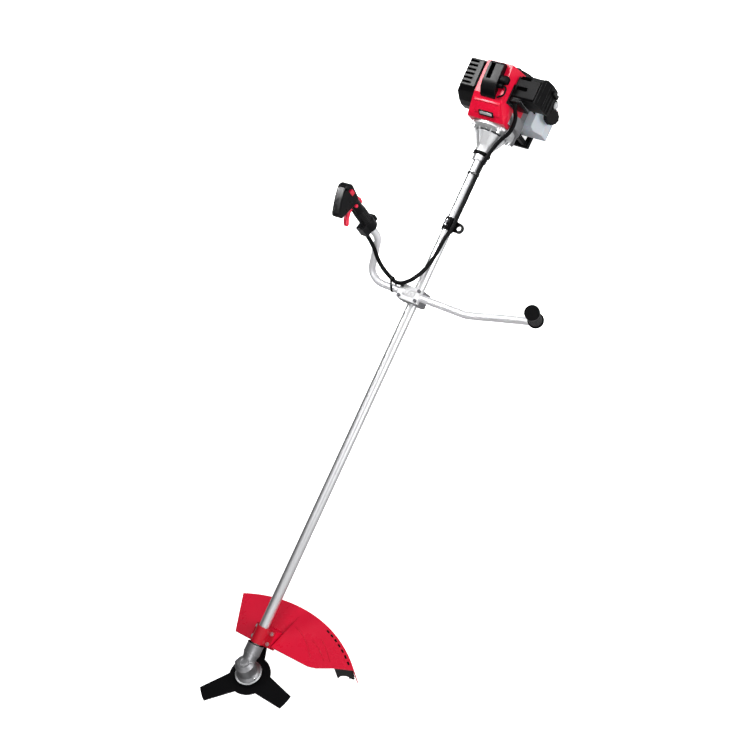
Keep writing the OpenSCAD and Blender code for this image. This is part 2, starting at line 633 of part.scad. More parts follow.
// Harness clamp: a band round the tube with a plate that carries the eye
band_r = tube_d / 2 + 3;
band_x = -2;
eye_lobe_r = eye_d / 2 + 6.6;
module harness_clamp() color("black") difference() {
    union() {
        along_x(band_x - eye_band_len / 2) cylinder(r = band_r, h = eye_band_len);
        translate([0, 0, -eye_plate / 2]) linear_extrude(eye_plate) hull() {
            circle(r = eye_lobe_r);
            translate([band_x - eye_band_len / 2 + 3, -eye_reach + tube_d / 2]) square([eye_band_len - 6, 1]);
        }
        on_shaft(band_x) translate([-11, -7, band_r - 3]) cube([22, 14, 6.5]);
    }
    along_x(band_x - eye_band_len) cylinder(d = tube_d + 2 * fit, h = 2 * eye_band_len);
    translate([0, 0, -eye_plate]) cylinder(d = eye_d, h = 2 * eye_plate);
    on_shaft(band_x) translate([0, 0, tube_d / 2]) cylinder(d = 5.2, h = 20);
}
// Rear end of the tube
module tube_collar() color("silver") along_x(housing_front_x + 9)
    ring(39, tube_d + 2 * fit, 13);
module damper_ring() color("black") along_x(housing_front_x) difference() {
    union() {
        cylinder(r = 23, h = 6);
        translate([0, 0, 6]) cylinder(r = 19, h = 3);
    }
    translate([0, 0, -over]) cylinder(d = tube_d + 2 * fit, h = 20);
}
housing_lip_r = 21.5;
flange_t = 12;
cone_end = 17;
drum_r = 39;
drum_len = 24;
drum_room = 27;
drum_bearing_od = 28;
bolt_circle = flange_r - 6;
flange_bolt_angles = [45, 135, 225, 315];
module clutch_housing() color("whitesmoke") difference() {
    engine_turned() union() {
        cylinder(r = flange_r, h = flange_t);
        translate([0, 0, flange_t]) cylinder(r1 = flange_r, r2 = flange_r - 8, h = 5);
        translate([0, 0, cone_end]) cylinder(r1 = 42, r2 = housing_lip_r, h = housing_len - cone_end - 12);
        translate([0, 0, housing_len - 12]) cylinder(r = housing_lip_r, h = 12);
        for (a = flange_bolt_angles) rotate(a) translate([bolt_circle, 0, 0]) cylinder(r = 7.5, h = cone_end);
        for (i = [0 : 7]) rotate(22.5 + i * 45) translate([0, -1.5, 0]) rotate([90, 0, 0])
            mirror([0, 0, 1]) linear_extrude(3)
                polygon([[20, flange_t], [flange_r - 6, flange_t], [27, housing_len - 20], [20, housing_len - 20]]);
    }
    engine_turned(-over) cylinder(r = drum_r + 2, h = drum_room - 3 + over);
    engine_turned(drum_room - 3.5) cylinder(d = drum_bearing_od + 2 * fit, h = 9.5);
    engine_turned() cylinder(r = 9, h = housing_len);
    along_x(tube_rear_x - fit) cylinder(d = tube_d + 2 * fit, h = 60);
    for (a = flange_bolt_angles) engine_turned(-over) rotate(a) translate([bolt_circle, 0, 0])
        cylinder(d = 5, h = 40);
}
module clutch_drum() color("gray") engine_turned(-4) difference() {
    union() {
        cylinder(r = drum_r, h = drum_len);
        translate([0, 0, drum_len]) cylinder(r = 8, h = 12);
    }
    translate([0, 0, -over]) cylinder(r = drum_r - 3, h = drum_len - 2);
    translate([0, 0, drum_len - 4]) cylinder(d = drive_shaft_d + 2 * fit, h = 30);
}
shoe_r = drum_r - 3 - 1.5;
module clutch_shoes() color("dimgray") engine_turned(-1) difference() {
    union() {
        difference() {
            cylinder(r = shoe_r, h = 15);
            translate([0, 0, -over]) cylinder(r = 20, h = 20);
            for (a = [0, 90]) rotate(a) translate([-50, -2, -over]) cube([100, 4, 20]);
        }
        ring(42, crank_d + 2 * fit, 6);
    }
}

// Engine block
fan_x = -fan_case_len;
crank_d = 12;
fan_leg = -76;
module fan_housing() color("gainsboro") difference() {
    union() {
        engine_turned(fan_x) cylinder(r = fan_case_r, h = fan_case_len - 6);
        engine_turned(-8) cylinder(r = flange_r, h = 8);
        in_engine(fan_x) translate([0, -30, fan_leg]) cube([fan_case_len + 8, 60, -fan_leg - 50]);
        for (i = [-3 : 3]) in_engine(8) translate([-over, i * 9 - 1.5, fan_leg]) cube([4, 3, 16]);
    }
    engine_turned(fan_x + 4) cylinder(r = fan_r + 3, h = fan_case_len - 12);
    engine_turned(-12) cylinder(r = 42, h = 20);
    engine_turned(fan_x - over) cylinder(r = 30, h = 10);
    engine_turned(0) cylinder(r = flange_r + air, h = 20);
    in_engine(fan_x + 5) translate([0, -28, 40]) cube([20, 56, 40]);
    for (a = flange_bolt_angles) engine_turned(-8 - over) rotate(a) translate([bolt_circle, 0, 0])
        cylinder(d = 5, h = 20);
}
module flywheel() color("silver") engine_turned(fan_x + 6) difference() {
    union() {
        cylinder(r = 44, h = 7);
        cylinder(r = 18, h = 20);
        for (i = [0 : vane_count - 1]) rotate(i * 360 / vane_count) translate([26, -1, 0])
            rotate(25) cube([24, 2, 20]);
    }
    translate([0, 0, -over]) cylinder(d = crank_d + 2 * fit, h = 40);
    difference() {
        translate([0, 0, -over]) cylinder(r = fan_r + 20, h = 40);
        translate([0, 0, -2 * over]) cylinder(r = fan_r, h = 50);
    }
}
barrel_z = 42;
case_len = 74;
case_x = fan_x - case_len;
module crankcase() color("gainsboro") difference() {
    union() {
        engine_turned(case_x) cylinder(r = 40, h = case_len - air);
        in_engine(case_x + 2) translate([0, -37, 0]) cube([case_len - 2 - air, 74, barrel_z]);
        in_engine(case_x + 3) translate([0, -46, -49]) cube([case_len - 6, 92, 30]);
    }
    engine_turned(case_x - over) cylinder(d = crank_d + 0.6, h = case_len + 2 * over);
    engine_turned(-cylinder_x - 14) cylinder(r = 33, h = 28);
    in_engine(-cylinder_x) cylinder(r = 21, h = 60);
}
module crankshaft() color("gray") {
    engine_turned(case_x - 14) cylinder(d = crank_d, h = case_len + fan_case_len + 18);
    engine_turned(-cylinder_x - 12) cylinder(r = 32, h = 9);
    engine_turned(-cylinder_x + 3) cylinder(r = 32, h = 9);
}
fin_span = 50;
fin_pitch = fin_span / fin_count;
module cylinder_block() color("silver") in_engine(-cylinder_x) difference() {
    union() {
        translate([0, 0, barrel_z + 0.1]) cylinder(r = 24, h = fin_span + 2 - 0.1);
        for (i = [0 : fin_count - 1]) translate([-32, -37, barrel_z + 2 + i * fin_pitch])
            cube([61, 74, fin_t]);
        translate([-20, -44, barrel_z + 6]) cube([40, 24, 26]);
        translate([-16, 20, barrel_z + 2]) cube([32, 25, 22]);
    }
    translate([0, 0, barrel_z - over]) cylinder(r = 20, h = fin_span - 6);
    translate([0, plug_y, barrel_z + fin_span - 12]) cylinder(d = 10, h = 40);
}

// Shapes drawn from the side, as (x, z), and from the front, as (y, z)
module side_slab(points, y0, y1) translate([0, y1, 0]) rotate([90, 0, 0])
    linear_extrude(y1 - y0) polygon(points);
module front_slab(points, x0, x1) translate([x0, 0, 0]) rotate([90, 0, 90])
    linear_extrude(x1 - x0) polygon(points);

// Engine shroud: its outline from the side and from the front
shroud_half = shroud_w / 2;
shroud_rear = case_x - 19;
lip_x = 5;
shroud_side = [[lip_x, 26], [lip_x, 58], [-2, 66], [-34, 92], [-46, 99], [shroud_rear, 107], [shroud_rear, 44],
    [-66, -8], [-46, -9], [-18, 15]];
shroud_bore = [[lip_x - cover_wall, -20], [lip_x - cover_wall, 57], [-2 - cover_wall, 65 - cover_wall / 2],
    [-34 - cover_wall, 91 - cover_wall], [-47, 99 - cover_wall], [shroud_rear - 20, 107 - cover_wall],
    [shroud_rear - 20, -20]];
function shroud_front(w, foot) = [[-shroud_half + w, foot], [-shroud_half + w, 60], [-38 + w, 104 - w / 2],
    [-33 + w, 110 - w], [33 - w, 110 - w], [38 - w, 104 - w / 2], [shroud_half - w, 60], [shroud_half - w, foot]];
port_h = 42;
module engine_shroud() color("red") difference() {
    in_engine() difference() {
        intersection() {
            side_slab(shroud_side, -shroud_half, shroud_half);
            front_slab(shroud_front(0, -10), shroud_rear, lip_x);
        }
        intersection() {
            side_slab(shroud_bore, -shroud_half, shroud_half);
            front_slab(shroud_front(cover_wall, -20), shroud_rear - 20, lip_x);
        }
        for (s = [-1, 1]) translate([-cylinder_x - 24, s * shroud_half - 10, port_h - 16]) cube([52, 20, 54]);
        translate([-cylinder_x, 2, 90]) cylinder(d = 24, h = 30);
    }
    engine_turned(fan_x - over) cylinder(r = fan_case_r + air, h = fan_case_len - 6 + over + air);
    engine_turned(-10) cylinder(r = flange_r + 2, h = 20);
}
plug_y = 2;
loop_half = 21;
loop_outer = [[-37, 90], [-41, 104], [-54, 117], [-73, 122], [-117, 124.6], [-124, 118], [-124, 90]];
loop_inner = [[-41, 80], [-45, 102], [-56, 113.5], [-74, 119], [-116, 122], [-121, 117], [-121, 80]];
boot_z = 108.5;
module plug_cover() color("black") in_engine() difference() {
    side_slab(loop_outer, plug_y - loop_half, plug_y + loop_half);
    side_slab(loop_inner, plug_y - loop_half + cover_wall, plug_y + loop_half - cover_wall);
    translate([0, 0, air]) side_slab([[-1, 34], [-34, 92], [-46, 99], [-127, 107], [-127, 40]], -40, 40);
    translate([-117, plug_y - 14, 105]) cube([40, 12, 30]);
    translate([-cylinder_x, plug_y, boot_z]) rotate([-90, 0, 0]) cylinder(d = 15, h = 40);
    translate([-cylinder_x - 7.5, plug_y, 100]) cube([15, 40, boot_z - 100]);
}
head_z_top = barrel_z + fin_span + 2;
module spark_plug() color("white") in_engine(-cylinder_x) translate([0, plug_y, 0]) {
    translate([0, 0, head_z_top + 0.1]) cylinder(d = 17, h = 7, $fn = 6);
    translate([0, 0, head_z_top - 14]) cylinder(d = 9.9, h = 15);
    translate([0, 0, head_z_top + 7]) cylinder(d = 8, h = 11);
}
lead_points = [[-cylinder_x, 34, boot_z], [-cylinder_x, 46, boot_z], [-50, 46, 105], [-43, 28, 100.4]];
module plug_lead() color("black") in_engine() difference() {
    union() {
        translate([-cylinder_x, plug_y, head_z_top + 8]) cylinder(d = 16, h = 12.5);
        translate([-cylinder_x, plug_y, boot_z]) rotate([-90, 0, 0]) cylinder(d = 13, h = 33);
        swept_rod(bent_route(lead_points, [0, 7, 9, 0], 4), 5, 8);
    }
    translate([-cylinder_x, plug_y, head_z_top]) cylinder(d = 8 + 2 * fit, h = 18 + fit);
}

// Exhaust
muffler_out = -106;
module muffler() color("gray") in_engine() {
    translate([-110, -100, 18]) cube([50, 38, 52]);
    translate([-cylinder_x - 20, -62.5, barrel_z + 6]) cube([36, 18.2, 20]);
    translate([-100, -82, 30]) rotate([0, -90, 0]) cylinder(d = 14, h = 30);
}
muffler_foot = -2;
function muffler_side(w) = [[-31 - w, muffler_foot + w], [-30 - w, 22], [-35 - w, 42], [-50 - w, 70 - w / 2],
    [-61, 85 - w], [-129, 88 - w], [-136 + w, 78 - w], [-136 + w, muffler_foot + w]];
function muffler_front(w) = [[muffler_out + w, -10], [muffler_out + w, 66], [-95 + w, 86 - w], [-88, 90 - w],
    [-50, 92 - w], [-50, -10]];
slot_pitch = 68 / muffler_slots;
module muffler_cover() color("black") in_engine() {
    for (x = [-104, -72]) translate([x, muffler_out + 1, 40]) cube([6, 5 - air, 6]);
    muffler_box();
}
module muffler_box() difference() {
    intersection() {
        side_slab(muffler_side(0), muffler_out, -55);
        front_slab(muffler_front(0), -140, 0);
    }
    intersection() {
        side_slab(muffler_side(cover_wall), muffler_out, -50);
        front_slab(muffler_front(cover_wall), -140, 0);
    }
    for (i = [0 : muffler_slots - 1]) translate([-128 + i * slot_pitch, -93, 60]) cube([slot_pitch * 0.5, 25, 50]);
    translate([-150, -82, 30]) rotate([0, 90, 0]) cylinder(d = 18, h = 30);
    rotate([0, -90, 0]) cylinder(r = fan_case_r + air, h = fan_case_len + air);
}

// Intake side
carb_x = -88;
carb_foot = port_h - 14;
shaft_y = 57;
module carburettor() color("silver") in_engine() {
    difference() {
        translate([carb_x, 46, carb_foot]) cube([32, box_in - air - 46, 38]);
        translate([carb_x + 10, shaft_y, carb_foot + 30]) cylinder(d = 5 + 2 * fit, h = 20);
    }
    translate([-cylinder_x - 14, 45.2, port_h + 4]) cube([28, 2, 18]);
    translate([-60, 60, 60]) cube([3.2, 13, 14]);
}
arm_lean = 65;
module throttle_arm() color("silver") in_engine() translate([carb_x + 10, shaft_y, 0]) rotate(arm_lean) {
    translate([0, 0, carb_foot + 31]) cylinder(d = 5, h = 9);
    translate([0, 0, carb_foot + 38 + air]) difference() {
        translate([-3, -3.5, 0]) cube([17, 7, 2.5]);
        translate([11, 0, -over]) cylinder(d = 3, h = 5);
    }
}
box_front = -60;
box_rear = -128;
box_in = 76;
box_out = 112;
box_top = 80;
function box_side(w) = [[box_front - w, 34], [box_front - w - 2, box_top - 4 - w], [box_front - 6, box_top - w],
    [box_rear + 14, box_top - w], [box_rear + w, box_top - 16 - w], [box_rear + w, 8 + w], [box_rear + 8, w],
    [-72, w], [box_front - w - 4, 6 + w]];
module filter_base() color("black") in_engine() difference() {
    union() {
        side_slab(box_side(0), box_in, box_out);
        side_slab([[box_front - 2, box_top - 5], [box_front - 6, box_top], [box_rear + 12, box_top],
            [box_rear + 12, box_top - 5]], 51, box_in);
        translate([-122, box_out - 8, -41]) cube([30, 8, 44]);
        translate([-107, box_out - 1, -28]) rotate([-90, 0, 0]) cylinder(d = 25, h = 7);
    }
    side_slab(box_side(cover_wall), box_in + cover_wall, box_out + over);
    for (x = [-92, -120]) translate([x, 55, box_top - 3.5]) cube([10, 30, 20]);
    translate([carb_x + 16, box_in - over, port_h + 4]) rotate([-90, 0, 0]) cylinder(d = 20, h = 6);
    translate([-107, box_out - 5, -28]) rotate([-90, 0, 0]) cylinder(d = bulb_d + 2 * air, h = 20);
}
lid_out = 127;
bulb_d = 18;
choke_x = -114;
choke_z = 8;
function lid_front(w) = [[box_out - 10, -3 + w], [box_out - 10, 77 - w], [box_out + 4, 77 - w],
    [lid_out - w, 43 - w / 2], [lid_out - w, 2 + w], [lid_out - 5 - w, -3 + w]];
module filter_cover() color("black") in_engine() difference() {
    union() {
        intersection() {
            side_slab(box_side(-1), box_out + air, lid_out);
            front_slab(lid_front(0), -150, -40);
        }
        for (z = [13, 29]) translate([-106, lid_out - over, z]) cube([42, 3, 4]);
    }
    intersection() {
        side_slab(box_side(cover_wall), box_out, lid_out);
        front_slab(lid_front(cover_wall), -150, -40);
    }
    translate([choke_x, lid_out + over, choke_z]) rotate([90, 0, 0]) cylinder(d = 6 + 2 * fit, h = 6);
}
module choke_lever() color("black") in_engine() translate([choke_x, lid_out, choke_z]) {
    translate([0, 2, 0]) rotate([90, 0, 0]) cylinder(d = 6, h = 2 + cover_wall + 3);
    translate([0, 6 + air, 0]) rotate([90, 0, 0]) cylinder(d = 12, h = 6);
    translate([-4, 1, 0]) cube([8, 6, 27]);
}
module primer_bulb() color("lightgray") in_engine() translate([-107, box_out, -28]) rotate([-90, 0, 0]) {
    translate([0, 0, 0.5]) cylinder(d = bulb_d, h = 7);
    translate([0, 0, 7.5]) cylinder(r1 = bulb_d / 2, r2 = bulb_d / 2 - 2, h = 3);
    translate([0, 0, 10.5]) cylinder(r1 = bulb_d / 2 - 2, r2 = 3, h = 3);
}

// Fuel tank, cap and stand
tank_front = -12 - 28;
tank_top = -56;
tank_foot = tank_top - tank_h;
tank_left = 90;
tank_right = tank_left - tank_w;
neck_at = [-91, 84, -82];
neck_lean = -atan2(0.8, 0.6);
neck_len = 22;
tank_rear = tank_front - tank_l;
tank_wall = 3;
function tank_side(w) = [[tank_front - w, tank_foot + 10], [tank_front - w, tank_top - 8],
    [tank_front - 8, tank_top - w], [tank_rear + 8, tank_top - w], [tank_rear + w, tank_top - 8],
    [tank_rear + w, tank_foot + 12], [tank_rear + 12, tank_foot + w], [tank_front - 10, tank_foot + w]];
function tank_section(w) = [[tank_right + w, tank_foot + 12], [tank_right + w, tank_top - 12],
    [tank_right + 12, tank_top - w], [tank_left - 26, tank_top - w], [tank_left - w, tank_top - 24],
    [tank_left - w, tank_foot + 12], [tank_left - 12, tank_foot + w], [tank_right + 12, tank_foot + w]];
module at_neck() in_engine() translate(neck_at) rotate([neck_lean, 0, 0]) children();
module fuel_tank() color("white") difference() {
    union() {
        in_engine() intersection() {
            side_slab(tank_side(0), tank_right, tank_left);
            front_slab(tank_section(0), tank_rear, tank_front);
        }
        at_neck() cylinder(d = 30, h = neck_len);
    }
    in_engine() intersection() {
        side_slab(tank_side(tank_wall), tank_right + tank_wall, tank_left - tank_wall);
        front_slab(tank_section(tank_wall), tank_rear, tank_front);
    }
    at_neck() translate([0, 0, -6]) cylinder(d = 24, h = neck_len + 10);
}
cap_grips = 12;
module fuel_cap() color("black") at_neck() translate([0, 0, neck_len - 12]) {
    difference() {
        union() {
            cylinder(d = cap_d - 3, h = 15);
            for (i = [0 : cap_grips - 1]) rotate(i * 360 / cap_grips) translate([cap_d / 2 - 3, -2.5, 2])
                cube([3, 5, 12]);
        }
        translate([0, 0, -over]) cylinder(d = 30 + 2 * fit, h = 12 + over + fit);
    }
}
stand_half = 29;
stand_bar = 12;
floor_z = -149.8;
skid_rear = -120;
module tank_stand() color("black") in_engine() {
    translate([-34, -stand_half - 6, floor_z]) cube([16, 2 * stand_half + 12, stand_bar]);
    for (s = [-1, 1]) {
        translate([skid_rear, s * stand_half - 7, floor_z]) cube([-18 - skid_rear, 14, stand_bar]);
        translate([-33, s * 23 - 6, floor_z]) cube([12, 12, fan_leg - floor_z - air]);
        for (x = [-66, skid_rear]) translate([x, s * stand_half - 7, floor_z])
            cube([14, 14, tank_foot - floor_z - air]);
    }
    translate([skid_rear, -stand_half, floor_z]) cube([10, 2 * stand_half, 8]);
}
module fuel_hose() color("black") in_engine()
    swept_rod(bent_route([[-84, 58, tank_top + air], [-84, 58, -20], [-80, 60, 6], [-80, 60, carb_foot - air]],
        [0, 20, 20, 0], 4), 5.5, 8);

// Recoil starter
starter_x = case_x - air;
starter_len = 36;
rope_x = starter_x - 22;
rope_y = 20;
guide_top = 56;
module at_rope(h = 0) in_engine(rope_x) translate([0, rope_y, h]) children();
module recoil_starter() color("black") difference() {
    union() {
        engine_turned(starter_x - starter_len) cylinder(r = starter_r, h = starter_len);
        engine_turned(starter_x - starter_len - 4) cylinder(r = 30, h = 6);
        at_rope(30) cylinder(d = 20, h = guide_top - 30);
    }
    engine_turned(starter_x - starter_len + 4) cylinder(r = 45, h = 22);
    engine_turned(starter_x - 12) cylinder(r = 34, h = 13);
    at_rope(20) cylinder(d = 5, h = 50);
    for (i = [0 : 7]) engine_turned(starter_x - starter_len - over) rotate(i * 45)
        translate([34, -2.5, 0]) cube([10, 5, 6]);
}
handle_h = guide_top + 0.5;
module starter_handle() color("black") at_rope(handle_h) difference() {
    union() {
        cylinder(d = 12, h = 13);
        translate([0, -20, 15]) rotate([-90, 0, 0]) cylinder(d = 14, h = 40);
    }
    translate([0, 0, -over]) cylinder(d = 4, h = 12);
}
module starter_rope() color("white") at_rope(44) cylinder(d = 3.5, h = handle_h + 10 - 44);
module flange_bolts() color("silver") for (a = flange_bolt_angles)
    engine_turned() rotate(a) translate([bolt_circle, 0, 0]) {
        translate([0, 0, cone_end + 0.1]) cylinder(d = 9, h = 5);
        translate([0, 0, -7]) cylinder(d = 4.9, h = cone_end + 8);
    }

// Throttle cable: its route from the handle to the carburettor, beside the handlebar clamp
bar_run = [
    [-84, -110, 175], [-80, -107, 161], [-74, -103, 145], [-62, -98, 119], [-45, -91, 94],
    [-31, -79, 72], [-20, -60, 57], [-13, -40, 52], [-17, -23, 52], [-28, -9, 50], [-46, 1, 43],
    [-68, 8, 35], [-96, 12, 28], [-124, 14, 23], [-165, 14, 17], [-190, 17, 12.5], [-205, 18, 11.5],
    [-222, 17.5, 11], [-270, 17, 9.5], [-346, 16.5, 8.5], [-372, 18, 10], [-388, 22.5, 13.5]];
engine_run = [
    [75, 26, 15], [58, 31, 16.5], [38, 39, 18.5], [24, 49, 22.5], [14, 58, 26], [2, 63, 29],
    [-12, 66, 34], [-26, 67.5, 44], [-35, 67, 56], [-44, 66, 65.5], [-49, 66, 67], [-55.6, 66, 67.6]];
cable_route = concat(bar_run, [for (p = engine_run) p + [engine_x - bar_x, 0, 0]]);
cable_sides = 8;
function between(p, i) = (p[max(i - 1, 0)] * -1 + p[i] * 9 + p[i + 1] * 9 - p[min(i + 2, len(p) - 1)]) / 16;
function smooth_route(p) = [for (i = [0 : len(p) - 1]) for (q = i < len(p) - 1 ? [p[i], between(p, i)] : [p[i]]) q];
module throttle_cable() color("black") on_shaft(bar_x)
    swept_rod(smooth_route(cable_route), cable_d, cable_sides);

// Two ties hold the cable: one on the handlebar and one on the drive tube
function arc_of(c, r, from, sweep) = [for (i = [0 : 12]) let (a = from + i * sweep / 12)
    c + r / cos(sweep / 24) * [cos(a), sin(a)]];
function oval(a, ra, b, rb) = let (t = atan2(b.y - a.y, b.x - a.x), u = acos((ra - rb) / norm(b - a)))
    concat(arc_of(a, ra, t + u, 360 - 2 * u), arc_of(b, rb, t - u, 2 * u));
tie_t = 1.3;
module tie(a, ra, b, rb, w) linear_extrude(w) difference() {
    polygon(oval(a, ra + tie_t, b, rb + tie_t));
    polygon(oval(a, ra, b, rb));
}
module cable_ties() color("black") on_shaft(bar_x) {
    translate([0, -50, 0]) rotate([90, 0, 0]) tie([0, bar_rise], bar_d / 2 + fit, [-17, 55], cable_d / 2 + 1, 5);
    translate([-350, 0, 0]) rotate([90, 0, 90])
        tie([0, 0], tube_d / 2 + fit, [16.5, 8.5], cable_d / 2 + 0.6, 6);
    translate([-349, 0, -tube_d / 2 - 10]) cube([4, 2, 9]);
}

drive_tube();
tube_bushes();
drive_shaft();
bevel_pinion();
head_bearings();
gear_case();
grease_plug();
bevel_gear();
blade_holder();
blade();
blade_washer();
blade_nut();
guard_shell();
guard_bracket();
guard_screws();
line_cutter();
handlebar();
clamp_base();
clamp_middle();
clamp_cap();
clamp_bolts();
left_grip();
handle_shells();
throttle_trigger();
throttle_lockout();
latch_button();
stop_switch();
throttle_cable();
cable_ties();
harness_clamp();
damper_ring();
tube_collar();
clutch_housing();
clutch_drum();
clutch_shoes();
fan_housing();
flywheel();
crankcase();
crankshaft();
cylinder_block();
engine_shroud();
plug_cover();
spark_plug();
plug_lead();
muffler();
muffler_cover();
carburettor();
throttle_arm();
filter_base();
filter_cover();
choke_lever();
primer_bulb();
fuel_tank();
fuel_cap();
fuel_hose();
tank_stand();
recoil_starter();
starter_handle();
starter_rope();
flange_bolts();
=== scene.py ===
# %% [markdown]
# A brush mower is a small two-stroke engine, a long straight tube with a shaft inside, and a toothed
# blade under a guard. The solids come ready made and to size, one object for each piece.
# This file gives them their finishes, rounds what a press or a mould rounds, and adds the
# small shapes that only the eye needs. Everything is in metres, with X forward to the blade.

# %% Load the solids
import json
import math

import bpy
from mathutils import Matrix, Vector


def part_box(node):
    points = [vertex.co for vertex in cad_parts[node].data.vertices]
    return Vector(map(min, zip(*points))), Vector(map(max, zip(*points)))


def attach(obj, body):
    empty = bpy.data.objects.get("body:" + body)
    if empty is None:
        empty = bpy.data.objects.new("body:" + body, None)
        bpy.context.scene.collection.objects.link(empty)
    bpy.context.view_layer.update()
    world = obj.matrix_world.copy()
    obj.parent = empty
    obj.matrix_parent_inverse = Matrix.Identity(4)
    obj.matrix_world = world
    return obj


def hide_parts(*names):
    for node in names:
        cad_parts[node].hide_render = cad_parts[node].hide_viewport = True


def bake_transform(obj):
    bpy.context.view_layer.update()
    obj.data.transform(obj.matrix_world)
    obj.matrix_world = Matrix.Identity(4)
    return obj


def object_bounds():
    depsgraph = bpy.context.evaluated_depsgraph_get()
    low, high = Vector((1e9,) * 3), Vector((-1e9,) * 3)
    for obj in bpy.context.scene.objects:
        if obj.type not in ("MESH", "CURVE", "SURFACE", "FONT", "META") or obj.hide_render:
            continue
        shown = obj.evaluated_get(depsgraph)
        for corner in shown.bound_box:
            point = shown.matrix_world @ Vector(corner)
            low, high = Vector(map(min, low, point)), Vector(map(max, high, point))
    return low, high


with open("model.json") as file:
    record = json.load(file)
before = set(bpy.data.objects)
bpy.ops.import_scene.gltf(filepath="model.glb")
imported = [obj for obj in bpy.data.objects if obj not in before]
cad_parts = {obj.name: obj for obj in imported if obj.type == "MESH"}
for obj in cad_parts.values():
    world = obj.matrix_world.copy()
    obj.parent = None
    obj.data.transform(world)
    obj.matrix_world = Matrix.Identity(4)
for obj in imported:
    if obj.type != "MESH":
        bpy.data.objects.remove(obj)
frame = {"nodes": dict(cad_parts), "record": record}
solids = frame["nodes"]
cad_low, cad_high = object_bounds()
print("solids:", len(solids), "box from", tuple(cad_low), "to", tuple(cad_high))

# %% [markdown]
# The camera stands high over the operator's left side and looks down across the machine, so the
# tube climbs through the image. A camera's own axes are right, up and back towards the viewer. With
# these three as the columns of a matrix it is aimed exactly, with no constraint to solve.

# %% Place the camera
camera_place = (0.5636, 1.4126, 2.5112)
view_right = Vector((-0.419, 0.796, -0.437)).normalized()
view_back = Vector((0.049, 0.501, 0.864)).normalized()
view_up = view_back.cross(view_right).normalized()
view_right = view_up.cross(view_back).normalized()
film_width = 36
focal_in_pixels = 1156.4
image_side = 750
lens_data = bpy.data.cameras.new("studio_camera")
lens_data.lens = film_width * focal_in_pixels / image_side
lens_data.sensor_width = film_width
lens_data.clip_start = 0.05
lens_data.clip_end = 60
camera = bpy.data.objects.new("studio_camera", lens_data)
bpy.context.scene.collection.objects.link(camera)
turn = Matrix((view_right, view_up, view_back)).transposed().to_4x4()
camera.matrix_world = Matrix.Translation(camera_place) @ turn
bpy.context.scene.camera = camera
print("lens", round(lens_data.lens, 2), "mm")

# %% [markdown]
# A mower is shown on a white table under large soft lamps, each a rectangle a few metres off. The
# key stands high behind the engine, and others fill from the blade's end, from low on the left and
# from above. Two long ones on the right are there for what the metal mirrors: they draw a line of
# light along the tube. A very narrow one touches only the throttle handle. A small spread keeps a
# lamp's light from the pieces around the one that it is meant for.

# %% Light the studio
def add_lamp(name, place, aim, size, watts, spread=180):
    data = bpy.data.lights.new(name, "AREA")
    data.shape = "RECTANGLE"
    data.size, data.size_y = size
    data.energy = watts
    data.spread = math.radians(spread)
    lamp = bpy.data.objects.new(name, data)
    bpy.context.scene.collection.objects.link(lamp)
    toward = (Vector(aim) - Vector(place)).to_track_quat("-Z", "Y")
    lamp.matrix_world = Matrix.Translation(place) @ toward.to_matrix().to_4x4()
    print(name, watts, "W")


add_lamp("key_lamp", (-2.2, 0.8, 3.2), (0.2, 0, 0), (1.6, 1.6), 56)
add_lamp("front_lamp", (3.0, 1.6, 2.0), (0.6, 0, 0), (1.4, 1.4), 36)
add_lamp("side_lamp", (-0.6, 3.4, 1.1), (0.2, 0, 0), (1.6, 1.0), 78)
add_lamp("sheen_lamp", (-1.08, -1.58, 2.6), (-0.35, -0.08, 0.1), (1.5, 0.8), 6.3, spread=36)
add_lamp("handle_lamp", (0.30, -2.35, 1.75), (0.06, -0.18, 0.34), (0.35, 0.35), 0.30, spread=8)
add_lamp("top_lamp", (0.53, 0.2, 2.6), (-0.25, 0, 0), (1.4, 1.0), 6)
add_lamp("tube_lamp", (-0.35, -1.75, 2.5), (-0.1, 0, 0), (3.0, 0.9), 6)

# %% [markdown]
# The sky is bright on the operator's left and nearly dark on the right, where a studio hangs a
# black flag. A polished tube and dark glossy covers mirror both, and so look round and deep. The
# camera itself sees a pale wall there. Nodes are wired here for the first time, so a helper does it:
# it adds one, sets its choices, and links or sets each input by name.

# %% Hang the dark flag in the sky
def put(tree, kind, inputs=None, **settings):
    node = tree.nodes.new("ShaderNode" + kind)
    for key, value in settings.items():
        setattr(node, key, value)
    for key, value in (inputs or {}).items():
        if isinstance(value, bpy.types.NodeSocket):
            tree.links.new(value, node.inputs[key])
        else:
            node.inputs[key].default_value = value
    return node


toward_left_and_up = (0.0, 0.9, 0.43)
dark_side, bright_side, wall_glow, sky_strength = 0.1, 0.8, 1.2, 0.85
world = bpy.data.worlds.new("pale_room")
bpy.context.scene.world = world
world.use_nodes = True
sky = world.node_tree
sky_way = put(sky, "TexCoord")
across = put(sky, "VectorMath", {0: sky_way.outputs["Generated"], 1: toward_left_and_up},
             operation="DOT_PRODUCT")
flag = put(sky, "MapRange", {"Value": across.outputs["Value"], "From Min": -0.35, "From Max": 0.75,
                             "To Min": dark_side, "To Max": bright_side})
own_eye = put(sky, "LightPath")
pale_wall = put(sky, "Math", {0: own_eye.outputs["Is Camera Ray"], 1: wall_glow}, operation="MULTIPLY")
wall = put(sky, "Math", {0: flag.outputs[0], 1: pale_wall.outputs[0]}, operation="MAXIMUM")
background = sky.nodes["Background"]
sky.links.new(wall.outputs[0], background.inputs["Color"])
background.inputs["Strength"].default_value = sky_strength
bpy.context.scene.view_settings.view_transform = "Standard"
print("sky from", dark_side, "to", bright_side)

# %% [markdown]
# The machine lies on its tank's stand and on the rear rim of its guard. The table under it is one wide
# plane, half a millimetre below the lowest point, so that nothing cuts into it.

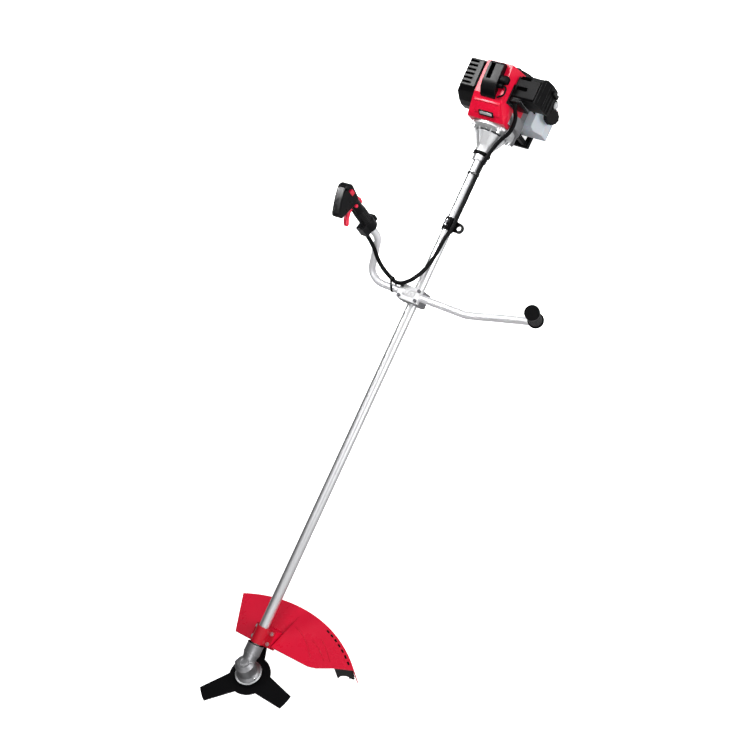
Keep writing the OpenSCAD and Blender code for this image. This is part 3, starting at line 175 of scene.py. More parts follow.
# %% Lay the floor
floor_side = 30
floor_gap = 0.0005
floor_z = cad_low.z - floor_gap
bpy.ops.mesh.primitive_plane_add(size=floor_side, location=(0.4, 0, floor_z))
floor = bpy.context.object
floor.name = "floor"
print("floor at", round(floor_z, 4))

# %% [markdown]
# Most finishes share a few effects, so each is a node group with its own inputs, placed in every
# material that needs it. The first rounds the look of an edge: the Bevel node bends
# the normal near an edge, and how far it bends is also a mask of where paint wears off first.

# %% Group: rounded edges and their wear
def new_group(name, inputs, outputs):
    group = bpy.data.node_groups.new(name, "ShaderNodeTree")
    for label, kind, value in inputs:
        socket = group.interface.new_socket(label, in_out="INPUT", socket_type="NodeSocket" + kind)
        if value is not None:
            socket.default_value = value
    for label, kind in outputs:
        group.interface.new_socket(label, in_out="OUTPUT", socket_type="NodeSocket" + kind)
    return group, group.nodes.new("NodeGroupInput"), group.nodes.new("NodeGroupOutput")


edges, edges_in, edges_out = new_group("rounded_edges", [("Radius", "Float", 0.0008)],
                                       [("Normal", "Vector"), ("Edge", "Float")])
soft_edge = put(edges, "Bevel", {"Radius": edges_in.outputs["Radius"]}, samples=4)
flat_face = put(edges, "NewGeometry")
bend = put(edges, "VectorMath", {0: soft_edge.outputs[0], 1: flat_face.outputs["True Normal"]},
           operation="DOT_PRODUCT")
edge_mask = put(edges, "MapRange", {"Value": bend.outputs["Value"], "From Min": 0.995,
                                    "From Max": 0.85, "To Min": 0.0, "To Max": 1.0})
edges.links.new(soft_edge.outputs[0], edges_out.inputs["Normal"])
edges.links.new(edge_mask.outputs[0], edges_out.inputs["Edge"])
print("group:", edges.name)

# %% [markdown]
# The second is surface grain: the fine pebble of a moulded cover, or the coarser skin of a casting.
# One noise texture gives both, at different scales. It reads Object coordinates, so it stays with
# the piece when that moves.

# %% Group: surface grain
grain, grain_in, grain_out = new_group(
    "surface_grain", [("Scale", "Float", 900.0), ("Depth", "Float", 0.2), ("Normal", "Vector", None)],
    [("Normal", "Vector"), ("Mask", "Float")])
grain_place = put(grain, "TexCoord")
pebble = put(grain, "TexNoise", {"Vector": grain_place.outputs["Object"],
                                 "Scale": grain_in.outputs["Scale"], "Detail": 3.0,
                                 "Roughness": 0.6})
relief = put(grain, "Bump", {"Strength": grain_in.outputs["Depth"], "Distance": 0.0004,
                             "Height": pebble.outputs["Fac"], "Normal": grain_in.outputs["Normal"]})
grain.links.new(relief.outputs[0], grain_out.inputs["Normal"])
grain.links.new(pebble.outputs["Fac"], grain_out.inputs["Mask"])
print("group:", grain.name)

# %% [markdown]
# The third is handling: smudges and light scuffs, which change how sharply a surface reflects.
# Broad noise gives the smudges, and a stretched one the thin scratches. The mask never tiles.

# %% Group: smudges and scratches
marks, marks_in, marks_out = new_group(
    "handling_marks", [("Scale", "Float", 14.0), ("Amount", "Float", 0.5)], [("Mask", "Float")])
marks_place = put(marks, "TexCoord")
smudge = put(marks, "TexNoise", {"Vector": marks_place.outputs["Object"],
                                 "Scale": marks_in.outputs["Scale"], "Detail": 6.0,
                                 "Roughness": 0.65})
long_way = put(marks, "Mapping", {"Vector": marks_place.outputs["Object"],
                                  "Rotation": (0.3, 0.2, 0.6),
                                  "Scale": (6.0, 160.0, 160.0)})
scratch = put(marks, "TexNoise", {"Vector": long_way.outputs[0], "Scale": 3.0, "Detail": 2.0})
thin = put(marks, "MapRange", {"Value": scratch.outputs["Fac"], "From Min": 0.62, "From Max": 0.72})
broad = put(marks, "MapRange", {"Value": smudge.outputs["Fac"], "From Min": 0.4, "From Max": 0.75})
both = put(marks, "Math", {0: thin.outputs[0], 1: broad.outputs[0]}, operation="MAXIMUM")
level = put(marks, "Math", {0: both.outputs[0], 1: marks_in.outputs["Amount"]}, operation="MULTIPLY")
marks.links.new(level.outputs[0], marks_out.inputs["Mask"])
print("group:", marks.name)

# %% [markdown]
# A finish is then a short recipe: its colour, the colour that shows where it is worn, how rough it
# is, and how strong each effect is. Metals, paints, plastics and rubbers only differ in these
# numbers. What is the same all over a piece is set on the shader itself, and only what varies over
# the surface is linked.

# %% How a finish is wired
smudge_dulls_by = 0.25


def finish(name, colour, worn, rough, metal=0.0, radius=0.0008, grain_scale=900.0, grain_depth=0.1,
           smudges=0.3, mottle=0.15, wear=0.3, worn_metal=None, **plain):
    made = bpy.data.materials.new(name)
    made.use_nodes = True
    tree = made.node_tree
    shader = tree.nodes["Principled BSDF"]
    edge = put(tree, "Group", {"Radius": radius}, node_tree=edges)
    skin = put(tree, "Group", {"Scale": grain_scale, "Depth": grain_depth,
                               "Normal": edge.outputs["Normal"]}, node_tree=grain)
    touch = put(tree, "Group", {"Amount": smudges}, node_tree=marks)
    wear_mask = put(tree, "Math", {0: edge.outputs["Edge"], 1: wear}, operation="MULTIPLY")
    wear_spots = put(tree, "Math", {0: wear_mask.outputs[0], 1: skin.outputs["Mask"]},
                     operation="MULTIPLY")
    darker = (*[c * (1 - mottle) for c in colour], 1)
    lighter = (*[min(1, c * (1 + mottle)) for c in colour], 1)
    shade = put(tree, "MixRGB", {"Fac": skin.outputs["Mask"], "Color1": darker, "Color2": lighter})
    tint = put(tree, "MixRGB", {"Fac": wear_spots.outputs[0], "Color1": shade.outputs[0],
                                "Color2": (*worn, 1)})
    tree.links.new(tint.outputs[0], shader.inputs["Base Color"])
    dull = put(tree, "MapRange", {"Value": touch.outputs["Mask"], "To Min": rough,
                                  "To Max": min(1, rough + smudge_dulls_by)})
    tree.links.new(dull.outputs[0], shader.inputs["Roughness"])
    tree.links.new(skin.outputs["Normal"], shader.inputs["Normal"])
    if worn_metal is None:
        shader.inputs["Metallic"].default_value = metal
    else:
        bare = put(tree, "MapRange", {"Value": wear_spots.outputs[0], "To Min": metal,
                                      "To Max": worn_metal})
        tree.links.new(bare.outputs[0], shader.inputs["Metallic"])
    for key, value in plain.items():
        shader.inputs[key.replace("_", " ")].default_value = value
    return made


print("a smudge dulls by", smudge_dulls_by)

# %% [markdown]
# The metals: a drawn and polished tube, castings with a pebbled skin, ground or zinc-plated steel,
# and a blade whose black paint is worn to bright steel along its edges. Polish is low roughness, and
# a raw casting is the same metal with a higher one and a deeper grain.

# %% Metals
metals = {
    "tube_metal": dict(colour=(0.70, 0.705, 0.72), worn=(0.85, 0.85, 0.85), rough=0.28, metal=0.95,
                       radius=0.0006, grain_scale=500.0, grain_depth=0.02, mottle=0.03, smudges=0.2),
    "cast_metal": dict(colour=(0.58, 0.585, 0.595), worn=(0.8, 0.8, 0.8), rough=0.46, metal=0.9,
                       radius=0.0015, grain_scale=700.0, grain_depth=0.35, mottle=0.1),
    "head_metal": dict(colour=(0.24, 0.24, 0.25), worn=(0.6, 0.6, 0.6), rough=0.4, metal=0.85,
                       radius=0.0015, grain_scale=600.0, grain_depth=0.3, wear=0.9, worn_metal=1.0),
    "steel": dict(colour=(0.50, 0.51, 0.52), worn=(0.8, 0.8, 0.8), rough=0.32, metal=1.0,
                  radius=0.0006),
    "zinc_steel": dict(colour=(0.74, 0.75, 0.76), worn=(0.9, 0.9, 0.9), rough=0.24, metal=1.0,
                       radius=0.0005),
    "blade_paint": dict(colour=(0.0035, 0.0035, 0.004), worn=(0.55, 0.55, 0.55), rough=0.42,
                        radius=0.0008, grain_scale=300.0, grain_depth=0.08, wear=1.2, worn_metal=1.0,
                        Specular_IOR_Level=0.04),
    "flywheel_metal": dict(colour=(0.68, 0.68, 0.7), worn=(0.85, 0.85, 0.85), rough=0.4, metal=1.0),
}
print("metals:", len(metals))

# %% [markdown]
# The rest: three reds for the covers, the guard's bracket and the controls, black plastic and
# rubber, the tank's milky wall, into which light sinks a little, the clear primer bulb, the plug's
# white insulator and the rope's fibre. Black covers are nearly without colour of their own, so what
# gives them their form is the reflection, and that is kept low for rubber.

# %% Plastics, rubber, ceramic and fibre
plastics = {
    "red_plastic": dict(colour=(0.58, 0.0035, 0.028), worn=(0.65, 0.08, 0.08), rough=0.27,
                        radius=0.0018, grain_scale=350.0, grain_depth=0.03, smudges=0.1, mottle=0.03,
                        Specular_IOR_Level=0.27),
    "bracket_red": dict(colour=(0.40, 0.0025, 0.014), worn=(0.6, 0.08, 0.08), rough=0.3,
                        radius=0.0015, grain_scale=350.0, grain_depth=0.05, smudges=0.1,
                        Specular_IOR_Level=0.3),
    "control_red": dict(colour=(0.64, 0.006, 0.04), worn=(0.8, 0.15, 0.15), rough=0.32,
                        radius=0.0010),
    "black_plastic": dict(colour=(0.0022, 0.0022, 0.0027), worn=(0.05, 0.05, 0.05), rough=0.27,
                          radius=0.0014, grain_scale=1100.0, grain_depth=0.12, smudges=0.25,
                          Specular_IOR_Level=0.12),
    "black_rubber": dict(colour=(0.0018, 0.0018, 0.0021), worn=(0.04, 0.04, 0.04), rough=0.42,
                         radius=0.0010, grain_scale=1300.0, grain_depth=0.2, Specular_IOR_Level=0.07),
    "ceramic": dict(colour=(0.88, 0.88, 0.86), worn=(0.9, 0.9, 0.9), rough=0.15),
    "tank_plastic": dict(colour=(0.48, 0.49, 0.535), worn=(0.9, 0.9, 0.9), rough=0.33, radius=0.003,
                         grain_scale=260.0, grain_depth=0.05, mottle=0.03, Subsurface_Weight=0.3,
                         Subsurface_Scale=0.02),
    "bulb_plastic": dict(colour=(0.74, 0.75, 0.77), worn=(0.8, 0.8, 0.8), rough=0.2,
                         Transmission_Weight=0.5),
    "cord_fibre": dict(colour=(0.42, 0.42, 0.40), worn=(0.5, 0.5, 0.5), rough=0.7,
                       grain_scale=2500.0, grain_depth=0.6),
}
finishes = {name: finish(name, **recipe) for name, recipe in {**metals, **plastics}.items()}
print("finishes:", len(finishes))

# %% [markdown]
# Some pieces share a material with others but not its exact look: the handlebar is satin, the engine's
# castings and the clamp's middle and base are rougher than the clutch housing and carry painted shade,
# a much darker colour for where they lie in shade, on the engine's lower side and under the clamp's
# cap, the clamp's bolts are blackened, and a few covers are rubber-dull. Slot floors carry painted
# shade too: black, and reflecting nothing at all.

# %% Variants of single pieces
satin_bar = finish("tube_metal_satin", (0.72, 0.72, 0.745), (0.9, 0.9, 0.9), 0.42, metal=0.55,
                   radius=0.0006, grain_scale=500.0, grain_depth=0.02, mottle=0.03, smudges=0.1)
# Painted shade: much darker than cast_metal, standing in for shade on these pieces; its higher
# roughness is real.
dull_shaded_casting = finish("cast_metal_dull_shaded", (0.20, 0.20, 0.21), (0.6, 0.6, 0.6), 0.5, metal=0.75,
                      radius=0.0015, grain_scale=500.0, grain_depth=0.5, mottle=0.15)
clamp_metal = finish("clamp_metal", (0.58, 0.58, 0.59), (0.7, 0.7, 0.7), 0.55, metal=0.6,
                     radius=0.0012, grain_scale=500.0, grain_depth=0.4, mottle=0.1)
dark_bolt = finish("bolt_dark", (0.06, 0.06, 0.065), (0.5, 0.5, 0.5), 0.4, metal=0.9, radius=0.0005)
# Painted shade: black with no reflection, put on slot floors where shade falls.
painted_slot_shade = finish("painted_hollow_shade", (0.001, 0.001, 0.001), (0.001, 0.001, 0.001), 0.9,
                   Specular_IOR_Level=0.0)
variants = {"handlebar": satin_bar, "clamp_cap": clamp_metal, "clamp_bolts": dark_bolt}
for node in ("filter_base", "filter_cover", "fuel_cap"):
    variants[node] = finishes["black_rubber"]
# These pieces take the darker casting as painted shade.
for node in ("fan_housing", "crankcase", "cylinder_block", "clamp_middle", "clamp_base"):
    variants[node] = dull_shaded_casting
print("variants:", len(variants))

# %% [markdown]
# Each solid takes the finish its record names. Its surface is made of loose triangles, so a Weld
# modifier joins them, and an Edge Split one keeps real corners sharp while round walls shade
# smoothly. Swept pieces have coarser rings, so a corner of theirs counts as sharp only from a larger
# angle.

# %% Dress every solid
weld_within = 0.000002
sharp_from, sharp_from_swept = 28, 55
swept = ("handlebar", "plug_lead", "fuel_hose")
slot_of = {row["node"]: row["material_slot"] for row in frame["record"]["subparts"]}
for name, solid in solids.items():
    solid.data.materials.clear()
    solid.data.materials.append(variants.get(name, finishes[slot_of[name]]))
    weld = solid.modifiers.new("join_faces", "WELD")
    weld.merge_threshold = weld_within
    crease = solid.modifiers.new("keep_corners", "EDGE_SPLIT")
    crease.split_angle = math.radians(sharp_from_swept if name in swept else sharp_from)
    solid.data.polygons.foreach_set("use_smooth", [True] * len(solid.data.polygons))
print("dressed:", len(solids))

# %% [markdown]
# The throttle cable and the stop switch's wires share one round jacket, from the handle's foot past
# the handlebar's clamp and along the tube to the carburettor. It is one curve through the solid's
# own points, with a round bevel: smooth where the solid has flats, and of the same length. The
# points are in millimetres from the handlebar's clamp, and then from the engine.

# %% Throttle cable
bar_at = (203, -30, 0)
engine_from_eye = (-275, -30, 0)
bar_points = (
    (-84, -110, 175), (-80, -107, 161), (-74, -103, 145), (-62, -98, 119), (-45, -91, 94),
    (-31, -79, 72), (-20, -60, 57), (-13, -40, 52), (-17, -23, 52), (-28, -9, 50), (-46, 1, 43),
    (-68, 8, 35), (-96, 12, 28), (-124, 14, 23), (-165, 14, 17), (-190, 17, 12.5), (-205, 18, 11.5),
    (-222, 17.5, 11), (-270, 17, 9.5), (-346, 16.5, 8.5), (-372, 18, 10), (-388, 22.5, 13.5),
)
engine_points = (
    (75, 26, 15), (58, 31, 16.5), (38, 39, 18.5), (24, 49, 22.5), (14, 58, 26), (2, 63, 29),
    (-12, 66, 34), (-26, 67.5, 44), (-35, 67, 56), (-44, 66, 65.5), (-49, 66, 67), (-55.6, 66, 67.6),
)
route = [Vector(point) + Vector(origin)
         for points, origin in ((bar_points, bar_at), (engine_points, engine_from_eye))
         for point in points]
route = [point / 1000 for point in route]


def new_curve(name, thickness, ring, fineness):
    bpy.ops.curve.primitive_bezier_curve_add(location=(0, 0, 0))
    curve = bpy.context.object
    curve.name = name
    curve.data.splines.clear()
    curve.data.bevel_depth = thickness / 2
    curve.data.bevel_resolution = ring
    curve.data.resolution_u = fineness
    curve.data.use_fill_caps = True
    return curve


def draw_spline(curve, points):
    line = curve.data.splines.new("BEZIER")
    line.bezier_points.add(len(points) - 1)
    for knot, point in zip(line.bezier_points, points):
        knot.co = point
        knot.handle_left_type = knot.handle_right_type = "AUTO"
    return line


jacket = 0.0104
cable = new_curve("throttle_cable_run", jacket, ring=5, fineness=6)
cable_line = draw_spline(cable, route)
cable.data.materials.append(finishes[slot_of["throttle_cable"]])
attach(cable, "frame")
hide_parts("throttle_cable")

# %% [markdown]
# Mouldings and castings have no knife edges. Where a solid's big corners show, a copy of it is
# merged into whole flat faces, its long sharp edges are picked and bevelled in three steps, and the
# copy then takes the solid's place. Short edges, as round small holes, stay as they are, because a
# wide bevel would fold over there.

# %% Round the big corners
merge_within = 0.000003
flat_within, sharp_edge, smooth_below = math.radians(0.6), math.radians(35), math.radians(28)


def pick(*objects):
    bpy.ops.object.select_all(action="DESELECT")
    for o in objects:
        o.select_set(True)
    bpy.context.view_layer.objects.active = objects[0]


def soften(node, width, least):
    pick(solids[node])
    bpy.ops.object.duplicate()
    piece = bpy.context.object
    piece.name = node + "_rounded"
    piece.modifiers.clear()
    bpy.ops.object.mode_set(mode="EDIT")
    bpy.ops.mesh.select_all(action="SELECT")
    bpy.ops.mesh.remove_doubles(threshold=merge_within)
    bpy.ops.mesh.dissolve_limited(angle_limit=flat_within)
    bpy.ops.mesh.select_all(action="DESELECT")
    bpy.ops.mesh.select_mode(type="EDGE")
    bpy.ops.mesh.edges_select_sharp(sharpness=sharp_edge)
    bpy.ops.object.mode_set(mode="OBJECT")
    mesh = piece.data
    kept = 0
    for edge in mesh.edges:
        ends = [mesh.vertices[i].co for i in edge.vertices]
        edge.select = edge.select and (ends[0] - ends[1]).length > least
        kept += edge.select
    bpy.ops.object.mode_set(mode="EDIT")
    bpy.ops.mesh.bevel(offset=width, segments=3, profile=0.5, clamp_overlap=True)
    bpy.ops.mesh.select_all(action="SELECT")
    bpy.ops.mesh.remove_doubles(threshold=merge_within)
    bpy.ops.mesh.normals_make_consistent(inside=False)
    bpy.ops.object.mode_set(mode="OBJECT")
    bpy.ops.object.shade_smooth_by_angle(angle=smooth_below)
    even = piece.modifiers.new("flat_faces_stay_flat", "WEIGHTED_NORMAL")
    even.keep_sharp = True
    bpy.ops.object.modifier_apply(modifier=even.name)
    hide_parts(node)
    print(piece.name, kept, "edges,", len(mesh.polygons), "faces")


for node, width, least in (("engine_shroud", 0.004, 0.02), ("muffler_cover", 0.005, 0.02),
                           ("filter_cover", 0.004, 0.02), ("filter_base", 0.004, 0.02),
                           ("plug_cover", 0.005, 0.015), ("handle_shells", 0.005, 0.012),
                           ("tank_stand", 0.002, 0.02), ("crankcase", 0.003, 0.02),
                           ("fuel_tank", 0.005, 0.02)):
    soften(node, width, least)

# %% [markdown]
# Small things that the solids leave out are made here, each from a plain cube or cylinder that is
# sized, bevelled and inset in edit mode, then carried to its place. Each stands in its carrier's own
# frame: the engine's, the sloping front of the shroud, or the blade's tilted plane.

# %% Frames of the carriers
def frame_of(origin, x_way, y_way, z_way):
    turned = Matrix((x_way, y_way, z_way)).transposed().to_4x4()
    return Matrix.Translation(origin) @ turned


blade_tilt = math.radians(31.5)
front_slope = math.radians(39.1)
shaft_y = -0.030
engine_at = Matrix.Translation((-0.275, shaft_y, 0.0))
slope_at = frame_of((-0.283, shaft_y, 0.071), (math.cos(front_slope), 0, -math.sin(front_slope)),
                    (0, 1, 0), (math.sin(front_slope), 0, math.cos(front_slope)))
blade_at = frame_of((1.211, shaft_y, 0.0), (math.cos(blade_tilt), 0, math.sin(blade_tilt)),
                    (0, 1, 0), (-math.sin(blade_tilt), 0, math.cos(blade_tilt)))
print("engine at", tuple(engine_at.translation), "blade at", tuple(blade_at.translation))

# %% [markdown]
# Four helpers shape, place and join them. A block is a cube drawn to size, with its front pushed
# sideways if it slants, and bevelled all round. A screw head is a cylinder with a bevelled rim and a
# round recess. Settling bakes the place into the mesh, so that the object itself stays at the origin.

# %% Shape, settle and join
piece_smooth_below = math.radians(32)


def settle(piece, name, at, spot, finish_name, look=None):
    piece.name = name
    piece.matrix_world = at @ Matrix.Translation(spot) @ piece.matrix_world
    pick(piece)
    bpy.ops.object.transform_apply(location=True, rotation=True, scale=True)
    bpy.ops.object.shade_smooth_by_angle(angle=piece_smooth_below)
    piece.data.materials.clear()
    piece.data.materials.append(look or finishes[finish_name])
    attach(piece, "frame")
    return piece


def block(name, size, at, spot, finish_name, bevel, slant=0.0, look=None):
    bpy.ops.mesh.primitive_cube_add(size=1)
    piece = bpy.context.object
    bpy.ops.object.mode_set(mode="EDIT")
    bpy.ops.transform.resize(value=size)
    bpy.ops.mesh.select_all(action="DESELECT")
    bpy.ops.object.mode_set(mode="OBJECT")
    for v in piece.data.vertices:
        v.select = v.co.x > 0
    bpy.ops.object.mode_set(mode="EDIT")
    bpy.ops.transform.translate(value=(0, slant * size[0], 0))
    bpy.ops.mesh.select_all(action="SELECT")
    bpy.ops.mesh.bevel(offset=bevel, segments=3, profile=0.5)
    bpy.ops.object.mode_set(mode="OBJECT")
    return settle(piece, name, at, spot, finish_name, look)


def screw_head(name, radius, height, at, spot=(0, 0, 0), finish_name="zinc_steel"):
    bpy.ops.mesh.primitive_cylinder_add(vertices=24, radius=radius, depth=height)
    piece = bpy.context.object
    mesh = piece.data
    bpy.ops.object.mode_set(mode="EDIT")
    bpy.ops.mesh.select_all(action="DESELECT")
    bpy.ops.mesh.select_mode(type="FACE")
    bpy.ops.object.mode_set(mode="OBJECT")
    for face in mesh.polygons:
        face.select = face.normal.z > 0.9
    bpy.ops.object.mode_set(mode="EDIT")
    bpy.ops.mesh.bevel(offset=height * 0.3, segments=2)
    bpy.ops.object.mode_set(mode="OBJECT")
    top = max(mesh.polygons, key=lambda face: face.center.z + face.area)
    for face in mesh.polygons:
        face.select = face.index == top.index
    bpy.ops.object.mode_set(mode="EDIT")
    bpy.ops.mesh.inset(thickness=radius * 0.4, depth=0)
    bpy.ops.mesh.extrude_region_move(TRANSFORM_OT_translate={"value": (0, 0, -height * 0.45)})
    bpy.ops.object.mode_set(mode="OBJECT")
    return settle(piece, name, at, spot, finish_name)


def join(name, pieces):
    pick(*pieces)
    bpy.ops.object.join()
    bpy.context.object.name = name
    print(name, len(pieces), "parts")


print("shapers ready")

# %% [markdown]
# On the engine: the shroud's front carries a raised panel whose upper edge is a small ledge, and on
# it a bare badge plate in a dark frame with one slanted end. A tray of painted shade, black and
# without reflection, darkens the slot of the plug's cover, and the plug's rubber boot sits beside it.
# The ledge lies level, so the slope is turned back for it. Thin blocks that stand a little out of the
# wall need no cut in the wall.

# %% Shroud panel, badge, tray and boot
block("shroud_panel", (0.030, 0.074, 0.003), slope_at, (-0.0125, 0.001, 0.0006), "red_plastic",
      bevel=0.0013, slant=0.10)
block("badge_frame", (0.0135, 0.043, 0.0016), slope_at, (0.0010, 0.001, 0.0026), "black_plastic",
      bevel=0.0005, slant=0.25)
block("badge_face", (0.0065, 0.035, 0.0008), slope_at, (0.0010, 0.001, 0.0032), "cast_metal",
      bevel=0.0003, slant=0.25)
ledge_at = slope_at @ Matrix.Translation((-0.0291, 0.001, -0.0001)) @ Matrix.Rotation(
    -front_slope, 4, "Y")
block("shroud_ledge", (0.007, 0.074, 0.006), ledge_at, (0, 0, 0), "red_plastic", bevel=0.0008)
# Painted shade: a black tray without reflection in the plug cover's slot.
block("plug_slot_painted_shade", (0.050, 0.020, 0.002), engine_at, (-0.097, -0.006, 0.1105), "black_plastic",
      bevel=0.0008, look=painted_slot_shade)
block("plug_boot", (0.020, 0.030, 0.018), engine_at, (-0.086, 0.031, 0.1095), "black_rubber",
      bevel=0.006)
print("shroud front dressed")

# %% [markdown]
# The muffler's cover has slots in its top. A tray of painted shade under them, black and without
# reflection, hides the empty inside, so that the slots look shaded; a muffler's folds there would
# cost many faces. A seal closes the gap between the cover and the shroud.

# %% Muffler cover's shade tray and seal
# Painted shade: a black tray without reflection under the cover's slots.
block("muffler_slot_painted_shade", (0.064, 0.030, 0.0015), engine_at, (-0.097, -0.080, 0.0820),
      "black_plastic", bevel=0.0005, look=painted_slot_shade)
block("muffler_seal", (0.066, 0.008, 0.020), engine_at, (-0.097, -0.0545, 0.0720), "black_plastic",
      bevel=0.001)
print("muffler cover dressed")

# %% [markdown]
# The filter's lid has two long ribs on its outer side, and two short slots in its top whose floors
# carry painted shade: black, with no reflection. Each rib and floor is a block with its own mesh, and
# each pair is joined into one piece.

# %% Ribs and slot floors of the filter's lid
join("lid_ribs", [block("lid_rib", (0.056, 0.0022, 0.0026), engine_at, (-0.095, y, z),
                        "black_plastic", bevel=0.0007)
                  for y, z in ((0.1186, 0.0682), (0.1246, 0.0502))])
# Painted shade: the slot floors are black and reflect nothing.
join("filter_slot_painted_shade_floors", [block("slot_floor", (0.0092, 0.0285, 0.0010), engine_at,
                                  (x, 0.0700, 0.0770), "black_rubber", bevel=0.0003, look=painted_slot_shade)
                            for x in (-0.087, -0.115)])

# %% [markdown]
# A thin black shield stands between the shroud and the filter: an upright plate in front and a level
# one over it. It could be one extruded corner, but as two blocks each plate has its edges rounded.

# %% Intake shield beside the shroud
join("intake_shield", [
    block("shield_front", (0.004, 0.034, 0.062), engine_at, (-0.0535, 0.064, 0.046), "black_plastic",
          bevel=0.0012),
    block("shield_top", (0.046, 0.030, 0.003), engine_at, (-0.0745, 0.062, 0.0745), "black_plastic",
          bevel=0.0010)])

# %% [markdown]
# Four screws on a circle hold the starter's housing and face backwards. Two more close the harness
# clamp from above. Only their heads show, so no shank is made.

# %% Screws of the starter and the harness clamp
faces_back = Matrix.Rotation(math.radians(-90), 4, "Y")
screw_circle, starter_back = 0.0485, -0.1475
heads = []
for degrees in (30, 120, 210, 300):
    a = math.radians(degrees)
    spot = (starter_back, screw_circle * math.cos(a), screw_circle * math.sin(a))
    heads.append(screw_head("starter_screw", 0.0030, 0.0025,
                            engine_at @ Matrix.Translation(spot) @ faces_back))
join("engine_screws", heads)
join("harness_screws", [screw_head("clamp_screw", 0.0027, 0.0026, Matrix.Identity(4),
                                   (x, shaft_y, 0.0205), "steel") for x in (-0.0085, 0.0045)])

# %% [markdown]
# At the other end: a ringed cap on the gear case, a thin pressed shield under its flange, three
# screws round the flange, and two rings round the case's neck. All are turned shapes, so the helper
# for screw heads makes them at other sizes.

# %% Gear case cap, shield, screws and rings
screw_head("gear_case_cap", 0.0125, 0.003, blade_at @ Matrix.Translation((0, 0, 0.0238)),
           finish_name="head_metal")
screw_head("gear_shield", 0.0345, 0.0022, blade_at @ Matrix.Translation((0, 0, -0.0303)),
           finish_name="steel")
lug_circle, lug_height = 0.0275, -0.0225
lugs = []
for degrees in (75, 195, 285):
    a = math.radians(degrees)
    spot = (lug_circle * math.cos(a), lug_circle * math.sin(a), lug_height)
    lugs.append(screw_head("lug", 0.0042, 0.005, blade_at @ Matrix.Translation(spot)))
join("gear_case_screws", lugs)
faces_front = Matrix.Rotation(math.radians(90), 4, "Y")
rings = []
for x, radius, length in ((1.1515, 0.0219, 0.003), (1.1745, 0.0216, 0.0022)):
    round_neck = Matrix.Translation((x, shaft_y, 0)) @ faces_front
    rings.append(screw_head("ring", radius, length, round_neck, finish_name="head_metal"))
join("neck_rings", rings)

# %% [markdown]
# The guard's rim has seven slots on a spiral. Dark strips behind them are painted shade, standing in
# for the shade inside the slots. They follow the spiral's own formula, each turned along the rim where
# it lies, so that every slot is backed over its full length.

# %% Strips of painted shade behind the rim's slots
def rim_spot(degrees, inset=0.009):
    reach = 0.198 + 0.0000145 * (degrees + 12) ** 2 - inset
    a = math.radians(degrees)
    return Vector((-reach * math.cos(a), reach * math.sin(a), 0.0049))


first_slot, slot_step, slots = 34, 4, 7
strips = []
for middle in range(first_slot, first_slot + slot_step * slots, slot_step):
    along = (rim_spot(middle + 1) - rim_spot(middle - 1)).normalized()
    spin = Matrix.Rotation(math.atan2(along.y, along.x), 4, "Z")
    # Painted shade: black strips behind the slots, where shade falls.
    strips.append(block("strip", (0.0155, 0.0075, 0.0012),
                        blade_at @ Matrix.Translation(rim_spot(middle)) @ spin, (0, 0, 0),
                        "black_plastic", bevel=0.0003))
join("rim_slot_painted_shade", strips)

# %% [markdown]
# Three low ribs stiffen the guard's left wing, about parallel to its rim. Each is a thin round bead,
# half sunk in the sheet: a curve through points in the blade's plane, then turned into a mesh. Near
# the middle the sheet is flat, and further out the wing rises as a tilted plane, so the higher of
# the two counts.

# %% Guard ribs
sheet_top, sunk, knots = 0.009, 0.0001, 8


def wing_height(x, y):
    return max(sheet_top, 0.0095 + 0.117 * (x + 0.1325) - 0.104 * (y - 0.0879))


ribs = new_curve("guard_ribs", 0.0024, ring=3, fineness=5)
for near, growth, first, last in ((0.1560, 0.00025, 18, 53), (0.1770, 0.00122, 37, 56),
                                  (0.1990, 0.00088, 39, 57)):
    bead = []
    for step in range(knots):
        degrees = first + (last - first) * step / (knots - 1)
        reach = near + growth * (degrees - first)
        x, y = -reach * math.cos(math.radians(degrees)), reach * math.sin(math.radians(degrees))
        bead.append(blade_at @ Vector((x, y, wing_height(x, y) - sunk)))
    draw_spline(ribs, bead)
pick(ribs)
bpy.ops.object.convert(target="MESH")
ribs = bpy.context.object
bpy.ops.object.shade_smooth_by_angle(angle=math.radians(50))
ribs.data.materials.clear()
ribs.data.materials.append(finishes[slot_of["guard_shell"]])
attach(ribs, "frame")
print("guard ribs:", len(ribs.data.polygons), "faces")
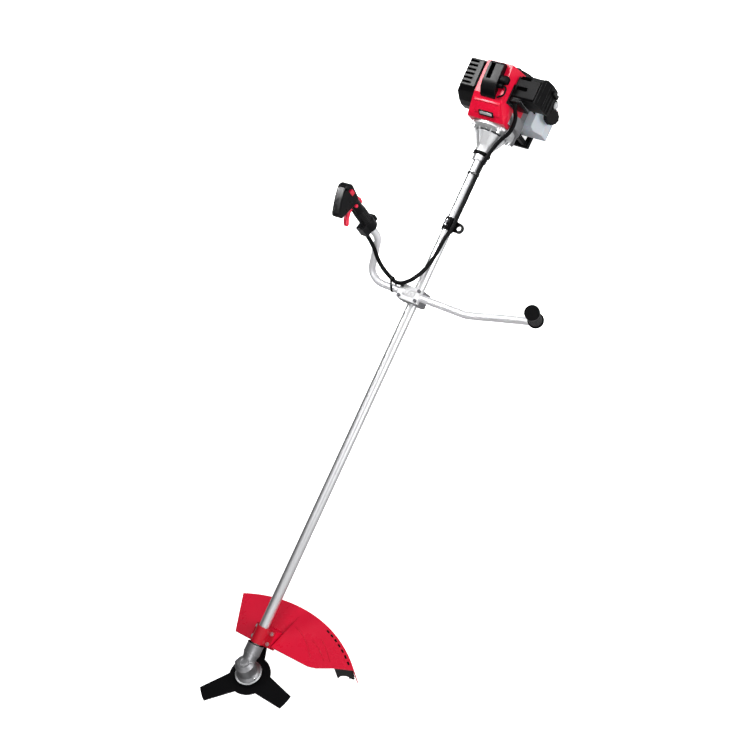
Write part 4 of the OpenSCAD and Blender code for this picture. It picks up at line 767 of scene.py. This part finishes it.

# %% [markdown]
# The starter's rope lies wound inside the housing, with its first few millimetres in the guide and
# the grip. A cylinder's top face is drawn out step by step, so that the rope has rings along its
# length.

# %% Starter rope
rope_radius, rope_first, rope_steps, rope_hold = 0.00175, 0.002, 8, 0.002
rope_low, rope_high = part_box("starter_rope")
rise = (rope_high[2] - rope_low[2] - rope_first) / rope_steps
bpy.ops.mesh.primitive_cylinder_add(vertices=14, radius=rope_radius, depth=rope_first)
rope = bpy.context.object
rope.name = "starter_rope_drawn"
bpy.ops.object.mode_set(mode="EDIT")
bpy.ops.mesh.select_mode(type="FACE")
bpy.ops.mesh.select_all(action="DESELECT")
bpy.ops.object.mode_set(mode="OBJECT")
for face in rope.data.polygons:
    face.select = face.normal.z > 0.9
bpy.ops.object.mode_set(mode="EDIT")
for step in range(rope_steps):
    bpy.ops.mesh.extrude_region_move(TRANSFORM_OT_translate={"value": (0, 0, rise)})
bpy.ops.object.mode_set(mode="OBJECT")
rope.location = ((rope_low[0] + rope_high[0]) / 2, (rope_low[1] + rope_high[1]) / 2,
                 rope_low[2] + rope_first / 2)
pick(rope)
bpy.ops.object.transform_apply(location=True, rotation=True, scale=True)
bpy.ops.object.shade_smooth_by_angle(angle=piece_smooth_below)
rope.data.materials.append(finishes["cord_fibre"])
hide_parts("starter_rope")
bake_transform(rope)
print("rope", round(rope_high[2] - rope_low[2], 4), "m at rest")

# %% [markdown]
# The table is white to the eye but gives back less light than it seems to, or its glow from below
# would wash out the machine's underside. The Light Path node tells the two apart.

# %% Floor finish
table_seen, table_felt, table_glow = (0.93, 0.93, 0.93, 1), (0.4, 0.4, 0.4, 1), 0.9
table_white = bpy.data.materials.new("table_white")
table_white.use_nodes = True
table_tree = table_white.node_tree
table_shader = table_tree.nodes["Principled BSDF"]
table_shader.inputs["Roughness"].default_value = 0.7
table_shader.inputs["Emission Color"].default_value = (1, 1, 1, 1)
seen = put(table_tree, "LightPath")
glow = put(table_tree, "MapRange", {"Value": seen.outputs["Is Camera Ray"], "To Min": 0.0,
                                    "To Max": table_glow})
pale = put(table_tree, "MixRGB", {"Fac": seen.outputs["Is Camera Ray"], "Color1": table_felt,
                                  "Color2": table_seen})
table_tree.links.new(pale.outputs[0], table_shader.inputs["Base Color"])
table_tree.links.new(glow.outputs[0], table_shader.inputs["Emission Strength"])
floor.data.materials.append(table_white)
print("floor finish:", table_white.name)
